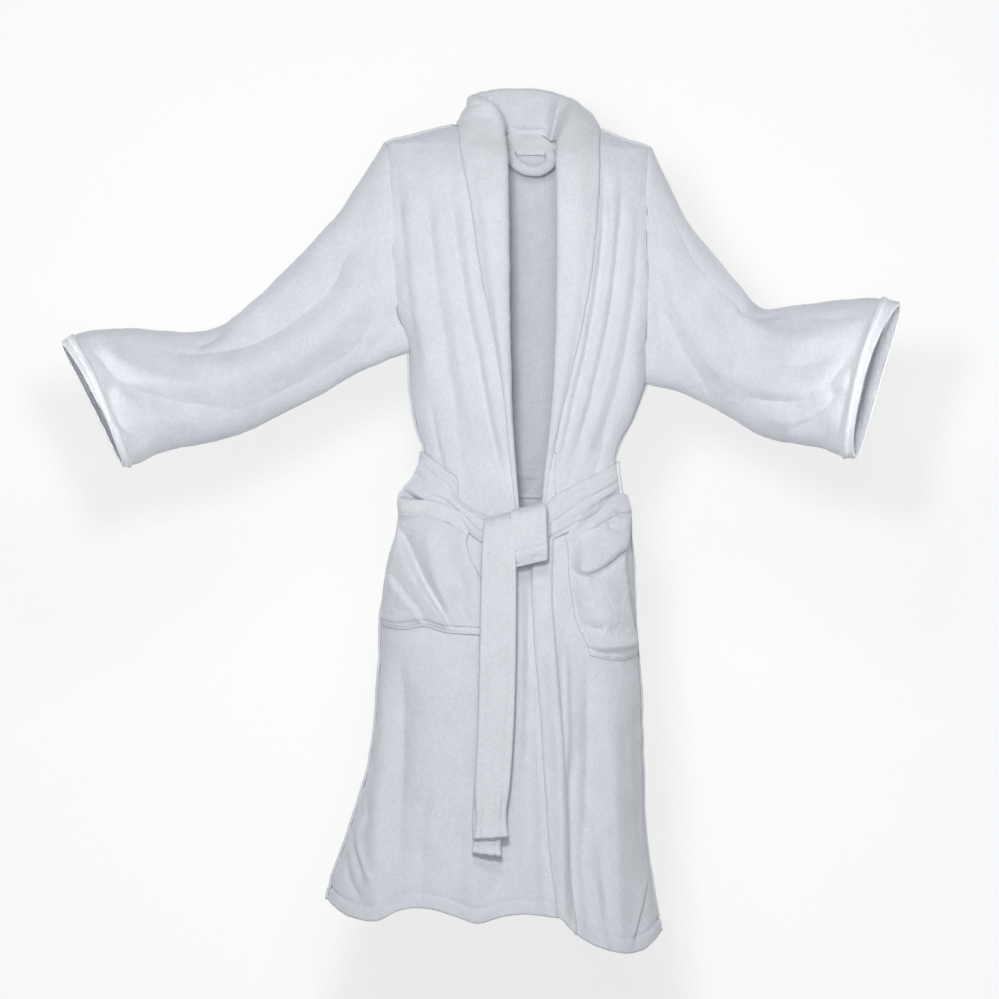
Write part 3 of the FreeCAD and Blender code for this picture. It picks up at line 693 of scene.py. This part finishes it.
RIGHT_FREE = [(-22, -560.5), (-28.3, -494.6), (-34.5, -416.1), (-44, -337.6), (-56.5, -262.2),
              (-73.8, -177.4), (-87.9, -83.2), (-100.5, -15.7), (-106.8, 23.6)]
RIGHT_ROLL = [(-20.4, -560.5), (-26.7, -494.6), (-33, -416.1), (-36.1, -337.6), (-39.2, -262.2),
              (-40, -177.4), (-41.6, -83.2), (-42.4, -15.7), (-47.1, 26.7)]
LEFT_FREE = [(18.8, -560.5), (26.7, -494.6), (40.8, -416.1), (58.1, -337.6), (73.8, -266.9),
             (87.9, -180.6), (97.3, -83.2), (100.5, -15.7), (100.5, 14.1)]
LEFT_ROLL = [(17.3, -560.5), (23.6, -494.6), (33, -416.1), (39.2, -337.6), (42.4, -266.9), (44, -180.6),
             (44, -83.2), (44, -15.7), (45.5, 14.1)]
FULLNESS = np.array([0.05, 0.3, 0.5, 0.72, 0.9, 1.0, 1.0, 1.0, 1.0])


def lapel_rails(free, roll, side):
    """Free edge, roll line and turned-in edge of a lapel, thinning out to nothing at its foot."""
    o = on_front(free, 2.0 + 1.5 * FULLNESS)
    r = on_front(roll, 2.5 + 8.0 * FULLNESS)
    i = r.copy()
    i[:, 0] += side * 9.0 * FULLNESS
    i[:, 1] += 4.0 + 13.0 * FULLNESS
    return o, r, i


def rail_points(points):
    return np.array(points, float)


right_o, right_r, right_i = lapel_rails(RIGHT_FREE, RIGHT_ROLL, -1)
left_o, left_r, left_i = lapel_rails(LEFT_FREE, LEFT_ROLL, 1)
NECK_O = rail_points([(-107, -78, 41), (-110, -58, 48), (-109, -30, 32), (-88, 2, -2), (-45, 17, -18),
                      (0, 21, -20), (45, 15, -20), (80, -2, -8), (98, -30, 26), (101, -54, 42), (101, -72, 34)])
NECK_R = rail_points([(-51, -92, 52), (-66, -84, 76), (-86, -68, 84), (-93, -44, 87), (-84, -14, 93),
             (-36, 7, 102), (0, 11, 102),
             (28, 3, 97), (50, -22, 87), (66, -50, 76), (62, -80, 54)])
NECK_I = rail_points([(-44, -68, 38), (-48, -62, 50), (-58, -52, 52), (-66, -38, 46), (-58, -23, 38),
             (-32, -14, 36), (0, -11, 36),
             (22, -14, 32), (36, -26, 25), (44, -44, 25), (44, -62, 22)])
RAILS = [np.concatenate([a, n, b[::-1]]) for a, n, b in ((right_o, NECK_O, left_o), (right_r, NECK_R, left_r),
                                                         (right_i, NECK_I, left_i))]
steps = sum(np.linalg.norm(np.diff(k, axis=0), axis=1) for k in RAILS)
ALONG = np.concatenate([[0], np.cumsum(steps)]) / steps.sum()
FULL_AT = smooth(list(zip(ALONG, np.concatenate([FULLNESS, np.ones(len(NECK_O)), FULLNESS[::-1]]))))


def rail(points, s):
    return np.stack([smooth(list(zip(ALONG, points[:, k])))(s) for k in range(3)], -1)


def collar_piece(start, end, rows, cols, bulge, ends):
    """A stretch of the collar: the outer fall, the fold over its roll line, and the part turned inside."""
    s = np.linspace(start, end, rows)
    o, r, i = (rail(k, s) for k in RAILS)
    full = FULL_AT(s)[:, None]
    inward = unit(np.stack([-0.4 * o[:, 0], SEAM_Y - o[:, 1] + 1e-3, 0 * s], -1))
    lift = -inward * bulge * full
    fall = o * 0.5 + r * 0.5 + lift
    near = r + (fall - r) * 0.25 + lift * 0.35
    inner = (i + r) / 2 + inward * 1.5 * full
    knots = np.stack([o, fall, near, r, inner, i], 1)
    v = np.linspace(0, 1, cols)
    p = np.stack([spline(knots[k], v) for k in range(rows)])
    # a ridge where the fall is turned under at its free edge, and seam hollows at the shoulders
    lip = np.exp(-((v - 0.03) / 0.035) ** 2)[None, :, None] * full[:, None] * 1.5
    p = p + (-inward)[:, None, :] * lip
    hollow = sum(np.exp(-((s - k) / 0.0022) ** 2) for k in ends)[:, None, None]
    p = p + inward[:, None, :] * 1.8 * hollow
    taper = (0.35 + 0.65 * full) * np.ones((1, cols))
    return p, taper


RIGHT_SEAM_AT, LEFT_SEAM_AT = ALONG[len(FULLNESS) + 2], ALONG[len(FULLNESS) + 8]
p, taper = collar_piece(0.0, RIGHT_SEAM_AT, 330, 50, 11.0, [RIGHT_SEAM_AT])
add("lapel_right_roll", shell(p, 7.0, flip=True, taper=taper), collar_cloth, "robe", ["lapel_right"],
    flip=True)
p, taper = collar_piece(RIGHT_SEAM_AT - 0.0015, LEFT_SEAM_AT + 0.0015, 210, 60, 7.0,
                        [RIGHT_SEAM_AT, LEFT_SEAM_AT])
add("collar_back_roll", shell(p, 7.0, flip=True, taper=taper), collar_cloth, "robe", ["collar_neck"],
    flip=True)
p, taper = collar_piece(LEFT_SEAM_AT, 1.0, 330, 50, 9.0, [LEFT_SEAM_AT])
add("lapel_left_roll", shell(p, 7.0, flip=True, taper=taper), collar_cloth, "robe", ["lapel_left"],
    flip=True)

# the facing inside the back neck, in a lighter white that paints light into the shade it lies in
rows, cols = 26, 70
x = np.linspace(-74, 78, cols)[None, :]
zz = np.linspace(37, 4, rows)[:, None]
base = ring_point(2 * np.pi - angle_at(x, zz), zz + 0 * x, -CLOTH - 1.6, False)
base[..., 1] += 1.2 * noise(base, 30, 5)
add("neck_facing_cloth", shell(base, 2.2), facing_painted_light_cloth, "robe", ["neck_facing"])


# ---- front bands --------------------------------------------------------------------------------
def band(edge, width, side, top, foot_hem, off, rows=300, cols=22):
    """The facing along one front's edge: double cloth with a sewn line at its far side."""
    z = np.linspace(top, ROWS_FOOT_Z, rows)[:, None]
    v = np.linspace(0, 1, cols)[None, :]
    wide = width * (0.25 + 0.75 * ease((top - z) / 160))
    x = edge(z) + side * wide * v
    hem = foot_hem(x)
    real_z = hang(z, hem)
    swell = 2.2 * ease(v / 0.12) * ease((1 - v) / 0.16) - 3.2 * ease((v - 0.86) / 0.14)
    p = ring_point(angle_at(x, z), z + 0 * x, off + swell + hem_groove(real_z, hem) * 0.7)
    p[..., 2] = real_z
    return p


def right_band_edge(z):
    return joined(RIGHT_OPENING, UNDER_LAYER_EDGE, z, LAYERS_MEET_Z) + 1.0


def left_band_edge(z):
    return joined(LEFT_OPENING, TOP_LAYER_EDGE, z, LAYERS_MEET_Z) - 1.5


p = band(right_band_edge, 44.0, -1, -470, FRONT_HEM, -2.0)
p[..., 1] += 5.0 * ease((-600 - p[..., 2]) / 60)
add("front_band_right_cloth", shell(p, 4.0), trim_cloth, "robe", ["front_band_right"])
p = band(left_band_edge, 34.0, 1, -470, LEFT_HEM, 3.6)
add("front_band_left_cloth", shell(p, 4.4, flip=True), trim_cloth, "robe", ["front_band_left"],
    flip=True)


# ---- belt ---------------------------------------------------------------------------------------
def belt_creases(u, v, seed):
    """Long creases of a soft belt pulled tight, and its slightly raised edges."""
    line = (1.5 * np.sin(2 * np.pi * (v * 1.35 + 0.35 * np.sin(3 * u + seed)))
            + 1.0 * np.sin(2 * np.pi * (v * 2.3 + 0.6 * u + seed)))
    return line - 3.2 * np.abs(v) ** 4


# the belt's middle line and half height over the right front and over the left front, then round the back
BELT_RIGHT = across([(-177.4, -493), (-158.6, -505.5), (-144.4, -518.1), (-130.3, -532.2),
                     (-109.9, -554.2), (-87.9, -576.2), (-56.5, -591.9), (-29.8, -595)])
BELT_LEFT = across([(-7.9, -591.9), (7.9, -585.6), (33, -574.6), (58.1, -557.4), (76.9, -544.8),
                    (95.8, -534.6), (111.5, -526), (135, -510.2)])
TALL_RIGHT = across([(-175.8, 28), (-144.4, 27), (-128.7, 23), (-103.6, 20), (-84.8, 21), (-48.7, 23)])
TALL_LEFT = across([(-1.6, 25), (33, 27), (76.9, 27.5), (111.5, 27), (135, 26)])
BELT_RIGHT_Z, BELT_LEFT_Z = -493, -510.2
BELT_BACK_SAG, BELT_BACK_TALL = 12.0, 25.0
BELT_RIGHT_END = angle_at(np.array(-53.4), np.array(-590.0))
BELT_LEFT_END = 2 * np.pi + angle_at(np.array(3.1), np.array(-590.0))


def belt_middle(turn, line):
    """Height of the belt's middle line at an angle round the body."""
    z = np.full(np.shape(turn), -560.0)
    for _ in range(4):
        x = ring_point(turn, z, 0, False)[..., 0]
        z = line(x)
    return z, x


turn = np.linspace(BELT_RIGHT_END, BELT_LEFT_END, 640)[None, :]
v = np.linspace(-1, 1, 38)[:, None]
right_z, right_x = belt_middle(turn, BELT_RIGHT)
left_z, left_x = belt_middle(turn, BELT_LEFT)
share = np.clip((turn - np.pi) / np.pi, 0, 1)
back_z = BELT_RIGHT_Z + (BELT_LEFT_Z - BELT_RIGHT_Z) * share - BELT_BACK_SAG * np.sin(np.pi * share)
middle_z = np.where(turn < np.pi, right_z, np.where(turn > 2 * np.pi, left_z, back_z))
tall = np.where(turn < np.pi, TALL_RIGHT(right_x), np.where(turn > 2 * np.pi, TALL_LEFT(left_x),
                                                            BELT_BACK_TALL))
for _ in range(60):
    middle_z[:, 1:-1] = (middle_z[:, :-2] + 2 * middle_z[:, 1:-1] + middle_z[:, 2:]) / 4
    tall[:, 1:-1] = (tall[:, :-2] + 2 * tall[:, 1:-1] + tall[:, 2:]) / 4
front = ease((np.sin(turn) - 0.10) / 0.45)
back = ease((-np.sin(turn) - 0.10) / 0.45)
stand = 5.0 + 6.0 * front + 2.0 * back
crease = belt_creases((turn - np.pi / 2) * 0.65, v, 0.6) * (0.25 + 0.75 * np.maximum(front, back))
p = ring_point(turn + 0 * v, middle_z + tall * v, stand + crease)
belt = shell(p, 8.0, flip=True, taper=(stand - 0.4) / 10.6 + 0 * v)
add("belt_round_waist", belt, belt_cloth, "robe", ["belt_waist"], flip=True)


def quilt(u, v, length):
    """Rows of sewing on the belt: lines along it and a fine slanting weave between them."""
    along = u * length
    rows_of = -0.8 * np.exp(-((np.abs(v) - 0.66) / 0.12) ** 2) - 0.5 * np.exp(-((v - 0.08) / 0.14) ** 2)
    weave = 0.2 * np.sin(2 * np.pi * (along / 8.0 - v * 1.5)) * (1 - np.abs(v) ** 4)
    return rows_of + weave


def tail(name, line, halves, depths, node, body, seed, turned=0.0):
    """A hanging belt end: a flat double strap, narrowing a little above the flared hem at its foot."""
    rows, cols = 330, 34
    u = np.linspace(0, 1, rows)[:, None]
    v = np.linspace(-1, 1, cols)[None, :]
    c = spline(line, u)
    drop = np.concatenate([[[0.0]], np.cumsum(np.abs(np.diff(c[..., 1], axis=0)), axis=0)])
    length = drop[-1, 0]
    wide = smooth(halves)(u)
    y = smooth(depths)(u)
    curl = -2.2 * (1 - v * v) - 1.2 * np.sin(6.0 * u + seed) * v
    curl = curl - 1.0 * np.sin(15.0 * u + seed) * (1 - np.abs(v))
    from_foot = length - drop
    hem = 2.2 * ease((17 - from_foot) / 3) - 1.8 * np.exp(-((from_foot - 18) / 2.2) ** 2)
    px = c[..., 0] + wide * v
    py = y + curl - quilt(drop / length, v, length) - hem
    pz = c[..., 1] + turned * v - 2.5 * v * ease((u - 0.9) / 0.1)
    p = np.stack([px, py, pz + 0 * px], -1)
    taper = 1 - 0.25 * ease((0.03 - u) / 0.03) + 0 * v
    ride = body if turned == 0 else ("robe", body, (line[1][0] * MM, y[0, 0] * MM, -0.600),
                                     (line[1][0] * MM, y[0, 0] * MM, -0.650))
    add(name, shell(p, 7.0, strength=0.8, taper=taper), belt_cloth, ride, [node])


tail("belt_tail_front_strap", [(-47.1, -568.3), (-50.2, -635.9), (-51.8, -761.5), (-55, -887.1),
                               (-61.2, -997), (-62.8, -1061.3)],
     [(0, 22), (0.1, 23.5), (0.4, 25.5), (0.75, 25), (0.88, 20.5), (0.95, 22), (1, 25)],
     [(0, -166), (0.02, -178), (0.05, -189), (0.12, -196), (0.5, -204), (1, -215)], "belt_tail_front",
     "tail_front", 0.4, 4.0)
tail("belt_tail_back_strap", [(-53.4, -617), (-55, -698.6), (-58.1, -855.6), (-67.5, -1012.7),
                              (-69.1, -1088)],
     [(0, 20), (0.3, 20), (0.8, 19), (0.95, 18.5), (1, 20.5)], [(0, -177), (0.5, -188), (1, -201)],
     "belt_tail_back", "tail_back", 1.9)

# the knot: a wrap rising to the left, and the short fold hanging over it
def strap_in_space(line, halves, out_of, rows, cols, puff, seed):
    """A padded strap through points in space; halves is its half width across, in the XZ plane."""
    u = np.linspace(0, 1, rows)[:, None]
    v = np.linspace(-1, 1, cols)[None, :]
    c = spline(line, u + 0 * v)
    d = unit(spline(line, np.clip(u + 0.01, 0, 1) + 0 * v) - spline(line, np.clip(u - 0.01, 0, 1) + 0 * v))
    out = np.broadcast_to(np.array(out_of, float), d.shape)
    side = unit(np.cross(d, out))
    w = smooth([(k / (len(halves) - 1), h) for k, h in enumerate(halves)])(u)
    face = unit(np.cross(side, d))
    lift = puff * (1 - v ** 2) + 0.8 * np.sin(2 * np.pi * (v * 1.2 + 0.3 * np.sin(4 * u + seed)))
    return c + side * (w * v)[..., None] + face * lift[..., None]


wrap = strap_in_space([(-70, -150, -588), (-58, -162, -590), (-40, -170, -589), (-18, -174, -585),
                       (6, -172, -580),
                       (20, -164, -576), (27, -148, -573)], [18, 20, 21, 22, 23, 22, 19], (0, -1, 0), 120,
                       40, 4.0, 0.2)
# the fold: it comes up from behind, turns over the wrap and hangs flat in front, with a sewn hem
u = np.linspace(0, 1, 170)[:, None]
v = np.linspace(-1, 1, 46)[None, :]
side_view = spline([(-150, -572), (-160, -563), (-176, -558.5), (-189, -561), (-195, -570), (-197.5, -588),
                    (-198, -606),
                    (-196, -620), (-189, -637)], u)
wide = smooth([(0, 24), (0.3, 25.2), (0.6, 25.6), (1, 26.5)])(u)
drop = -552 - side_view[..., 1]
px = -4.0 + wide * v + 0 * u
creases = 0.9 * np.sin(2 * np.pi * (1.6 * v + 0.2 * np.sin(5 * u))) * ease((0.75 - u) / 0.3) + 1.2 * (v * v)
hem = 2.0 * ease((drop - 66) / 3) - 3.2 * np.exp(-((drop - 64) / 2.6) ** 2)
hem = hem - 3.0 * np.exp(-((v - 0.35) / 0.3) ** 2) * ease((drop - 68) / 8)
p = np.stack([px, side_view[..., 0] + creases - hem, side_view[..., 1] + 0.24 * (px + 2.4)], -1)
fold = shell(p, 8.0)
knot = join(shell(wrap, 8.0), fold)
add("belt_knot_wrap", knot, belt_cloth, "robe", ["belt_knot"])


# belt loops at the side seams
def belt_loop(turn_at, z_mid, name, node):
    rows, cols = 60, 14
    s = np.linspace(-1, 1, rows)[:, None]
    w = np.linspace(-1, 1, cols)[None, :]
    z = z_mid + 29 * np.sin(s * np.pi / 2)
    off = 1.2 + 6.6 * ease((1 - np.abs(s)) / 0.25)
    p = ring_point(turn_at + 0.030 * w, z + 0 * w, off + 0.5 * (1 - w * w), True)
    add(name, shell(p, 2.5, flip=turn_at > 3), belt_cloth, "robe", [node], flip=turn_at > 3)


belt_loop(np.pi + 0.012, -493, "belt_loop_right_strip", "belt_loop_right")
belt_loop(-0.012, -510.2, "belt_loop_left_strip", "belt_loop_left")


# ---- pockets ------------------------------------------------------------------------------------
def pocket_surface(left, right, top, foot, folds, stand, v_from, v_to, rows, cols, edge_off, lobe=None,
                   hood=None):
    """A patch on the front, from its top line (v 0) to its foot line (v 1), standing off between its sewn edges."""
    v = np.linspace(v_from, v_to, rows)[:, None]
    u = np.linspace(0, 1, cols)[None, :]
    middle = (left(-650.0) + right(-650.0)) / 2
    rough = top(middle) + (foot(middle) - top(middle)) * v
    a, b = angle_at(left(rough), rough), angle_at(right(rough), rough)
    turn = a + (b - a) * u
    x0 = ring_point(turn, rough + 0 * u, 0, False)[..., 0]
    z = top(x0) + (foot(x0) - top(x0)) * v
    height = z - foot(x0)
    inside = ease(u / 0.22) * ease((1 - u) / 0.22)
    sewn = ease(height / 12)
    bulge = stand * inside * (0.3 + 0.7 * ease(height / 80)) * sewn + edge_off(u, z) * sewn
    off = 4.5 + bulge + fold_height(x0, z, folds) * sewn * (0.3 + 0.7 * inside)
    off = off - 3.0 * np.exp(-((height - 9) / 2.5) ** 2)
    if lobe is not None:
        off = off + lobe(x0, z) * ease((1 - u) / 0.22) * ease(u / 0.12)
    if hood is not None:
        off = off + hood(v, u) * (0.25 + 0.75 * inside)
    p = ring_point(turn, z, off, False)
    drag = ring_point(turn, z, 0, True) - ring_point(turn, z, 0, False)
    p = p + 0.5 * drag
    # it sags forward rather than out past the side
    side, limit = (-1, R_LIMIT(z)) if middle < 0 else (1, L_LIMIT(z))
    over = side * (p[..., 0] - limit) + 7
    p[..., 0] = np.where(over > 0, limit + side * (7 * np.tanh(over / 14) - 7), p[..., 0])
    return p


R_LIMIT = down([(-208.8, -526), (-210.4, -541.6), (-207.2, -565.2), (-215.1, -604.5), (-224.5, -635.9),
                (-233.9, -698.6), (-238.6, -737.9), (-240.2, -777.1)])
L_LIMIT = down([(153.9, -526), (157, -565.2), (155.4, -591.9), (158.6, -635.9), (163.3, -698.6),
                (171.1, -777.1), (171.1, -808.6)])


R_LEFT = down([(-207.2, -529.1), (-204.1, -565.2), (-212, -604.5), (-221.4, -635.9), (-230.8, -698.6),
               (-234.7, -736.3), (-235.5, -761.5)])
R_RIGHT = down([(-95.8, -541.6), (-95.8, -573.1), (-87.9, -604.5), (-76.9, -639), (-70.7, -683),
                (-67.5, -761.5)])
R_TOP = across([(-212, -535.4), (-197.8, -540.1), (-174.3, -543.2), (-153.9, -544.8), (-133.5, -551.1),
                (-111.5, -563.6), (-87.9, -588.8)])
R_FOOT = across([(-235.5, -736.3), (-199.4, -742.6), (-166.4, -737.9), (-130.3, -747.3), (-73.8, -750.5)])
R_FOLDS = [
    (PLEAT, [(-117.8, -761.5), (-133.5, -725.3), (-163.3, -676.7), (-185.3, -623.3), (-205.7, -560.5)], 17,
     17),
    (VALLEY, [(-199.4, -573.1), (-180.6, -624.9), (-157, -676.7), (-125.6, -730.1)], 8, 7),
    (PLEAT, [(-161.7, -752), (-172.7, -717.5), (-190, -689.2), (-210.4, -651.6)], 12, 11),
    (RIDGE, [(-155.4, -573.1), (-146, -635.9), (-128.7, -698.6), (-106.8, -742.6)], 13, 7),
    (VALLEY, [(-133.5, -651.6), (-124, -686.1), (-102, -717.5), (-83.2, -748.9)], 8, 7),
    (RIDGE, [(-111.5, -635.9), (-95.8, -698.6), (-76.9, -748.9)], 8, 5),
    (VALLEY, [(-208.8, -571.5), (-180.6, -574.6), (-149.2, -563.6)], 4, 4),
]
def right_edge(u, z):
    return 3.0 * ease(u / 0.1)


p = pocket_surface(R_LEFT, R_RIGHT, R_TOP, R_FOOT, R_FOLDS, 15.0, 0.11, 1.0, 170, 120, right_edge)
add("pocket_right_patch", shell(p, CLOTH, flip=True), panel_cloth, "robe", ["pocket_right"],
    flip=True)
roll = lambda v, u: (5.0 * np.sin(np.pi * np.clip((v + 0.01) / 0.14, 0,
                                                  1)) + 2.0) * ease((0.62 - u) / 0.25 + 0.2)
p = pocket_surface(R_LEFT, R_RIGHT, R_TOP, R_FOOT, R_FOLDS, 15.0, -0.01, 0.125, 40, 120, right_edge,
                   hood=roll)
add("pocket_right_band", shell(p, 6.0, flip=True), trim_cloth, "robe", ["pocket_band_right"],
    flip=True)

L_LEFT = down([(55, -541.6), (56.5, -588.8), (58.1, -635.9), (62.8, -683), (70.7, -733.2), (87.9, -774),
               (92.6, -800.7)])
L_RIGHT = down([(152.3, -533.8), (155.4, -562.1), (153.9, -591.9), (146, -628), (146, -675.1),
                (150.7, -722.2), (163.3, -769.3), (168, -800.7)])
L_TOP = across([(48.7, -588.8), (69.1, -576.2), (92.6, -560.5), (114.6, -543.2), (130.3, -535.4),
                (146, -538.5), (157, -549.5)])
L_FOOT = across([(55, -774), (89.5, -781.9), (111.5, -788.1), (136.6, -791.3), (155.4, -786.6),
                 (171.1, -780.3)])
L_FOLDS = [
    (VALLEY, [(67.5, -651.6), (81.6, -657.8), (98.9, -653.1), (119.3, -634.3), (139.7, -613.9),
              (155.4, -596.6)], 5, 8),
    (VALLEY, [(72.2, -736.3), (89.5, -739.5), (108.3, -745.8)], 6, 9),
    (RIDGE, [(80.1, -761.5), (114.6, -769.3), (158.6, -761.5)], 7, 8),
    (VALLEY, [(86.4, -778.7), (114.6, -780.3), (161.7, -774)], 4, 5),
    (RIDGE, [(102, -659.4), (108.3, -698.6), (117.8, -748.9)], 16, 5),
    (VALLEY, [(108.3, -573.1), (117.8, -587.2), (139.7, -593.5)], 4, 5),
    (VALLEY, [(119.3, -551.1), (127.2, -563.6), (142.9, -562.1), (149.2, -549.5), (136.6, -540.1)], 3, 5),
]


def slump(x, z):
    """The top of the pocket has sunk forward over its lower half."""
    line = across([(45.5, -629.6), (64.4, -648.4), (80.1, -657.8), (98.9, -651.6), (119.3, -634.3),
                   (139.7, -615.4), (161.7, -588.8)])(x)
    return 14.0 * ease((z - line + 5) / 11) * (0.45 + 0.55 * ease((line + 70 - z) / 45))


def left_edge(u, z):
    return 6.0 * ease(u / 0.1) * ease((-640 - z) / 50) + 1.0


p = pocket_surface(L_LEFT, L_RIGHT, L_TOP, L_FOOT, L_FOLDS, 13.0, 0.08, 1.0, 190, 110, left_edge, lobe=slump)
add("pocket_left_patch", shell(p, CLOTH, flip=True), panel_cloth, "robe", ["pocket_left"],
    flip=True)
p = pocket_surface(L_LEFT, L_RIGHT, L_TOP, L_FOOT, L_FOLDS, 13.0, -0.01, 0.10, 34, 110, left_edge, lobe=slump,
                   hood=lambda v, u: 4.0 * np.sin(np.pi * np.clip(v / 0.11, 0, 1)) + 1.5)
add("pocket_left_band", shell(p, 6.0, flip=True), trim_cloth, "robe", ["pocket_band_left"],
    flip=True)


# ---- hanger loop --------------------------------------------------------------------------------
def tube(points, radius, rows=90, cols=24, flat=0.8):
    u = np.linspace(0, 1, rows)
    c = spline(points, u)
    d = unit(np.gradient(c, axis=0))
    side = unit(np.cross(d, np.array([0.0, 1.0, 0.0])))
    face = np.cross(side, d)
    turn = np.linspace(0, 2 * np.pi, cols, endpoint=False)
    pinch = 1 - 0.25 * np.exp(-(u / 0.06) ** 2) - 0.25 * np.exp(-((1 - u) / 0.06) ** 2)
    r = (radius * pinch)[:, None, None]
    p = c[:, None] + r * (np.cos(turn)[None, :, None] * side[:, None] + flat * np.sin(turn)[None, :, None] * face[:, None])
    return p


loop_line = [(-31, -19, 9), (-32, -21, 0), (-25, -25, -10), (-12, -27, -19), (4, -27, -23), (17, -26, -21),
             (28, -23, -13),
             (32, -19, -3), (29, -17, 8)]
loop = shell(tube(loop_line, 7.2, flat=0.6), 2.5, closed=True)
add("hanger_loop_tube", loop, trim_cloth, ("robe", "loop", (0, -0.02, 0.006), (0, -0.02, -0.006)),
    ["hanger_loop"])


# ---- stage, light and camera --------------------------------------------------------------------
def plane(name, corners, material):
    data = bpy.data.meshes.new(name)
    data.from_pydata([tuple(c * MM for c in p) for p in corners], [], [tuple(range(len(corners)))])
    o = bpy.data.objects.new(name, data)
    bpy.context.scene.collection.objects.link(o)
    data.materials.append(material)
    return o


def one_sided_white(name, strength, shade):
    """A plain pale surface seen from its front only, so that it never hides the robe from behind."""
    m = bpy.data.materials.new(name)
    m.use_nodes = True
    tree = m.node_tree
    tree.nodes.clear()
    out = tree.nodes.new("ShaderNodeOutputMaterial")
    paint = tree.nodes.new("ShaderNodeBsdfPrincipled")
    paint.inputs["Base Color"].default_value = (shade, shade, shade, 1)
    paint.inputs["Roughness"].default_value = 0.9
    paint.inputs["Specular IOR Level"].default_value = 0.0
    paint.inputs["Emission Color"].default_value = (1, 1, 1, 1)
    paint.inputs["Emission Strength"].default_value = strength
    clear = tree.nodes.new("ShaderNodeBsdfTransparent")
    which = tree.nodes.new("ShaderNodeNewGeometry")
    mix = tree.nodes.new("ShaderNodeMixShader")
    link = tree.links.new
    link(which.outputs["Backfacing"], mix.inputs["Fac"])
    link(paint.outputs["BSDF"], mix.inputs[1])
    link(clear.outputs["BSDF"], mix.inputs[2])
    link(mix.outputs["Shader"], out.inputs["Surface"])
    return m


wall_paint = one_sided_white("wall_paint", 0.68, 0.42)
floor_paint = one_sided_white("floor_paint", 0.0, 0.6)
FLOOR_Z = -1420.0
WALL_Y = 720.0
plane("floor", [(-9000, -9000, FLOOR_Z), (9000, -9000, FLOOR_Z), (9000, 9000, FLOOR_Z),
                (-9000, 9000, FLOOR_Z)],
      floor_paint)
plane("wall", [(-9000, WALL_Y, FLOOR_Z), (9000, WALL_Y, FLOOR_Z), (9000, WALL_Y, 7000),
                      (-9000, WALL_Y, 7000)],
             wall_paint)

world = bpy.data.worlds.new("studio")
world.use_nodes = True
world.node_tree.nodes["Background"].inputs["Color"].default_value = (0.93, 0.96, 1.0, 1)
world.node_tree.nodes["Background"].inputs["Strength"].default_value = 0.20
bpy.context.scene.world = world


def softbox(name, place, aim, size, power, spread=180.0):
    data = bpy.data.lights.new(name, "AREA")
    data.shape = "RECTANGLE"
    data.size, data.size_y = size
    data.energy = power
    data.spread = np.radians(spread)
    o = bpy.data.objects.new(name, data)
    bpy.context.scene.collection.objects.link(o)
    o.location = place
    o.rotation_euler = (Vector(aim) - Vector(place)).to_track_quat("-Z", "Y").to_euler()
    return o


CENTRE = (-0.0495, -0.060, -0.541)
softbox("main", (-0.19, -3.40, -0.02), (-0.05, -0.06, -0.20), (0.28, 0.28), 40)
softbox("near", (-0.08, -1.70, 0.30), (-0.05, -0.06, -0.06), (0.5, 0.3), 6.0)
softbox("mouth_right", (-1.05, -0.13, -0.44), (-0.66, -0.04, -0.38), (0.16, 0.16), 0.16, 50.0)
softbox("mouth_left", (0.92, -0.14, -0.40), (0.52, -0.04, -0.35), (0.16, 0.16), 0.22, 50.0)
softbox("fill", (-0.05, -4.6, -0.20), (-0.05, -0.06, -0.30), (1.0, 1.0), 24)

DISTANCE = 9.0
data = bpy.data.cameras.new("camera")
data.sensor_width = 36.0
data.lens = 36.0 * DISTANCE / (999 * 1.57 * MM)
data.clip_end = 60.0
camera = bpy.data.objects.new("camera", data)
bpy.context.scene.collection.objects.link(camera)
camera.location = (CENTRE[0], CENTRE[1] - DISTANCE, CENTRE[2])
camera.rotation_euler = (np.pi / 2, 0, 0)
bpy.context.scene.camera = camera
bpy.context.scene.view_settings.view_transform = "Standard"

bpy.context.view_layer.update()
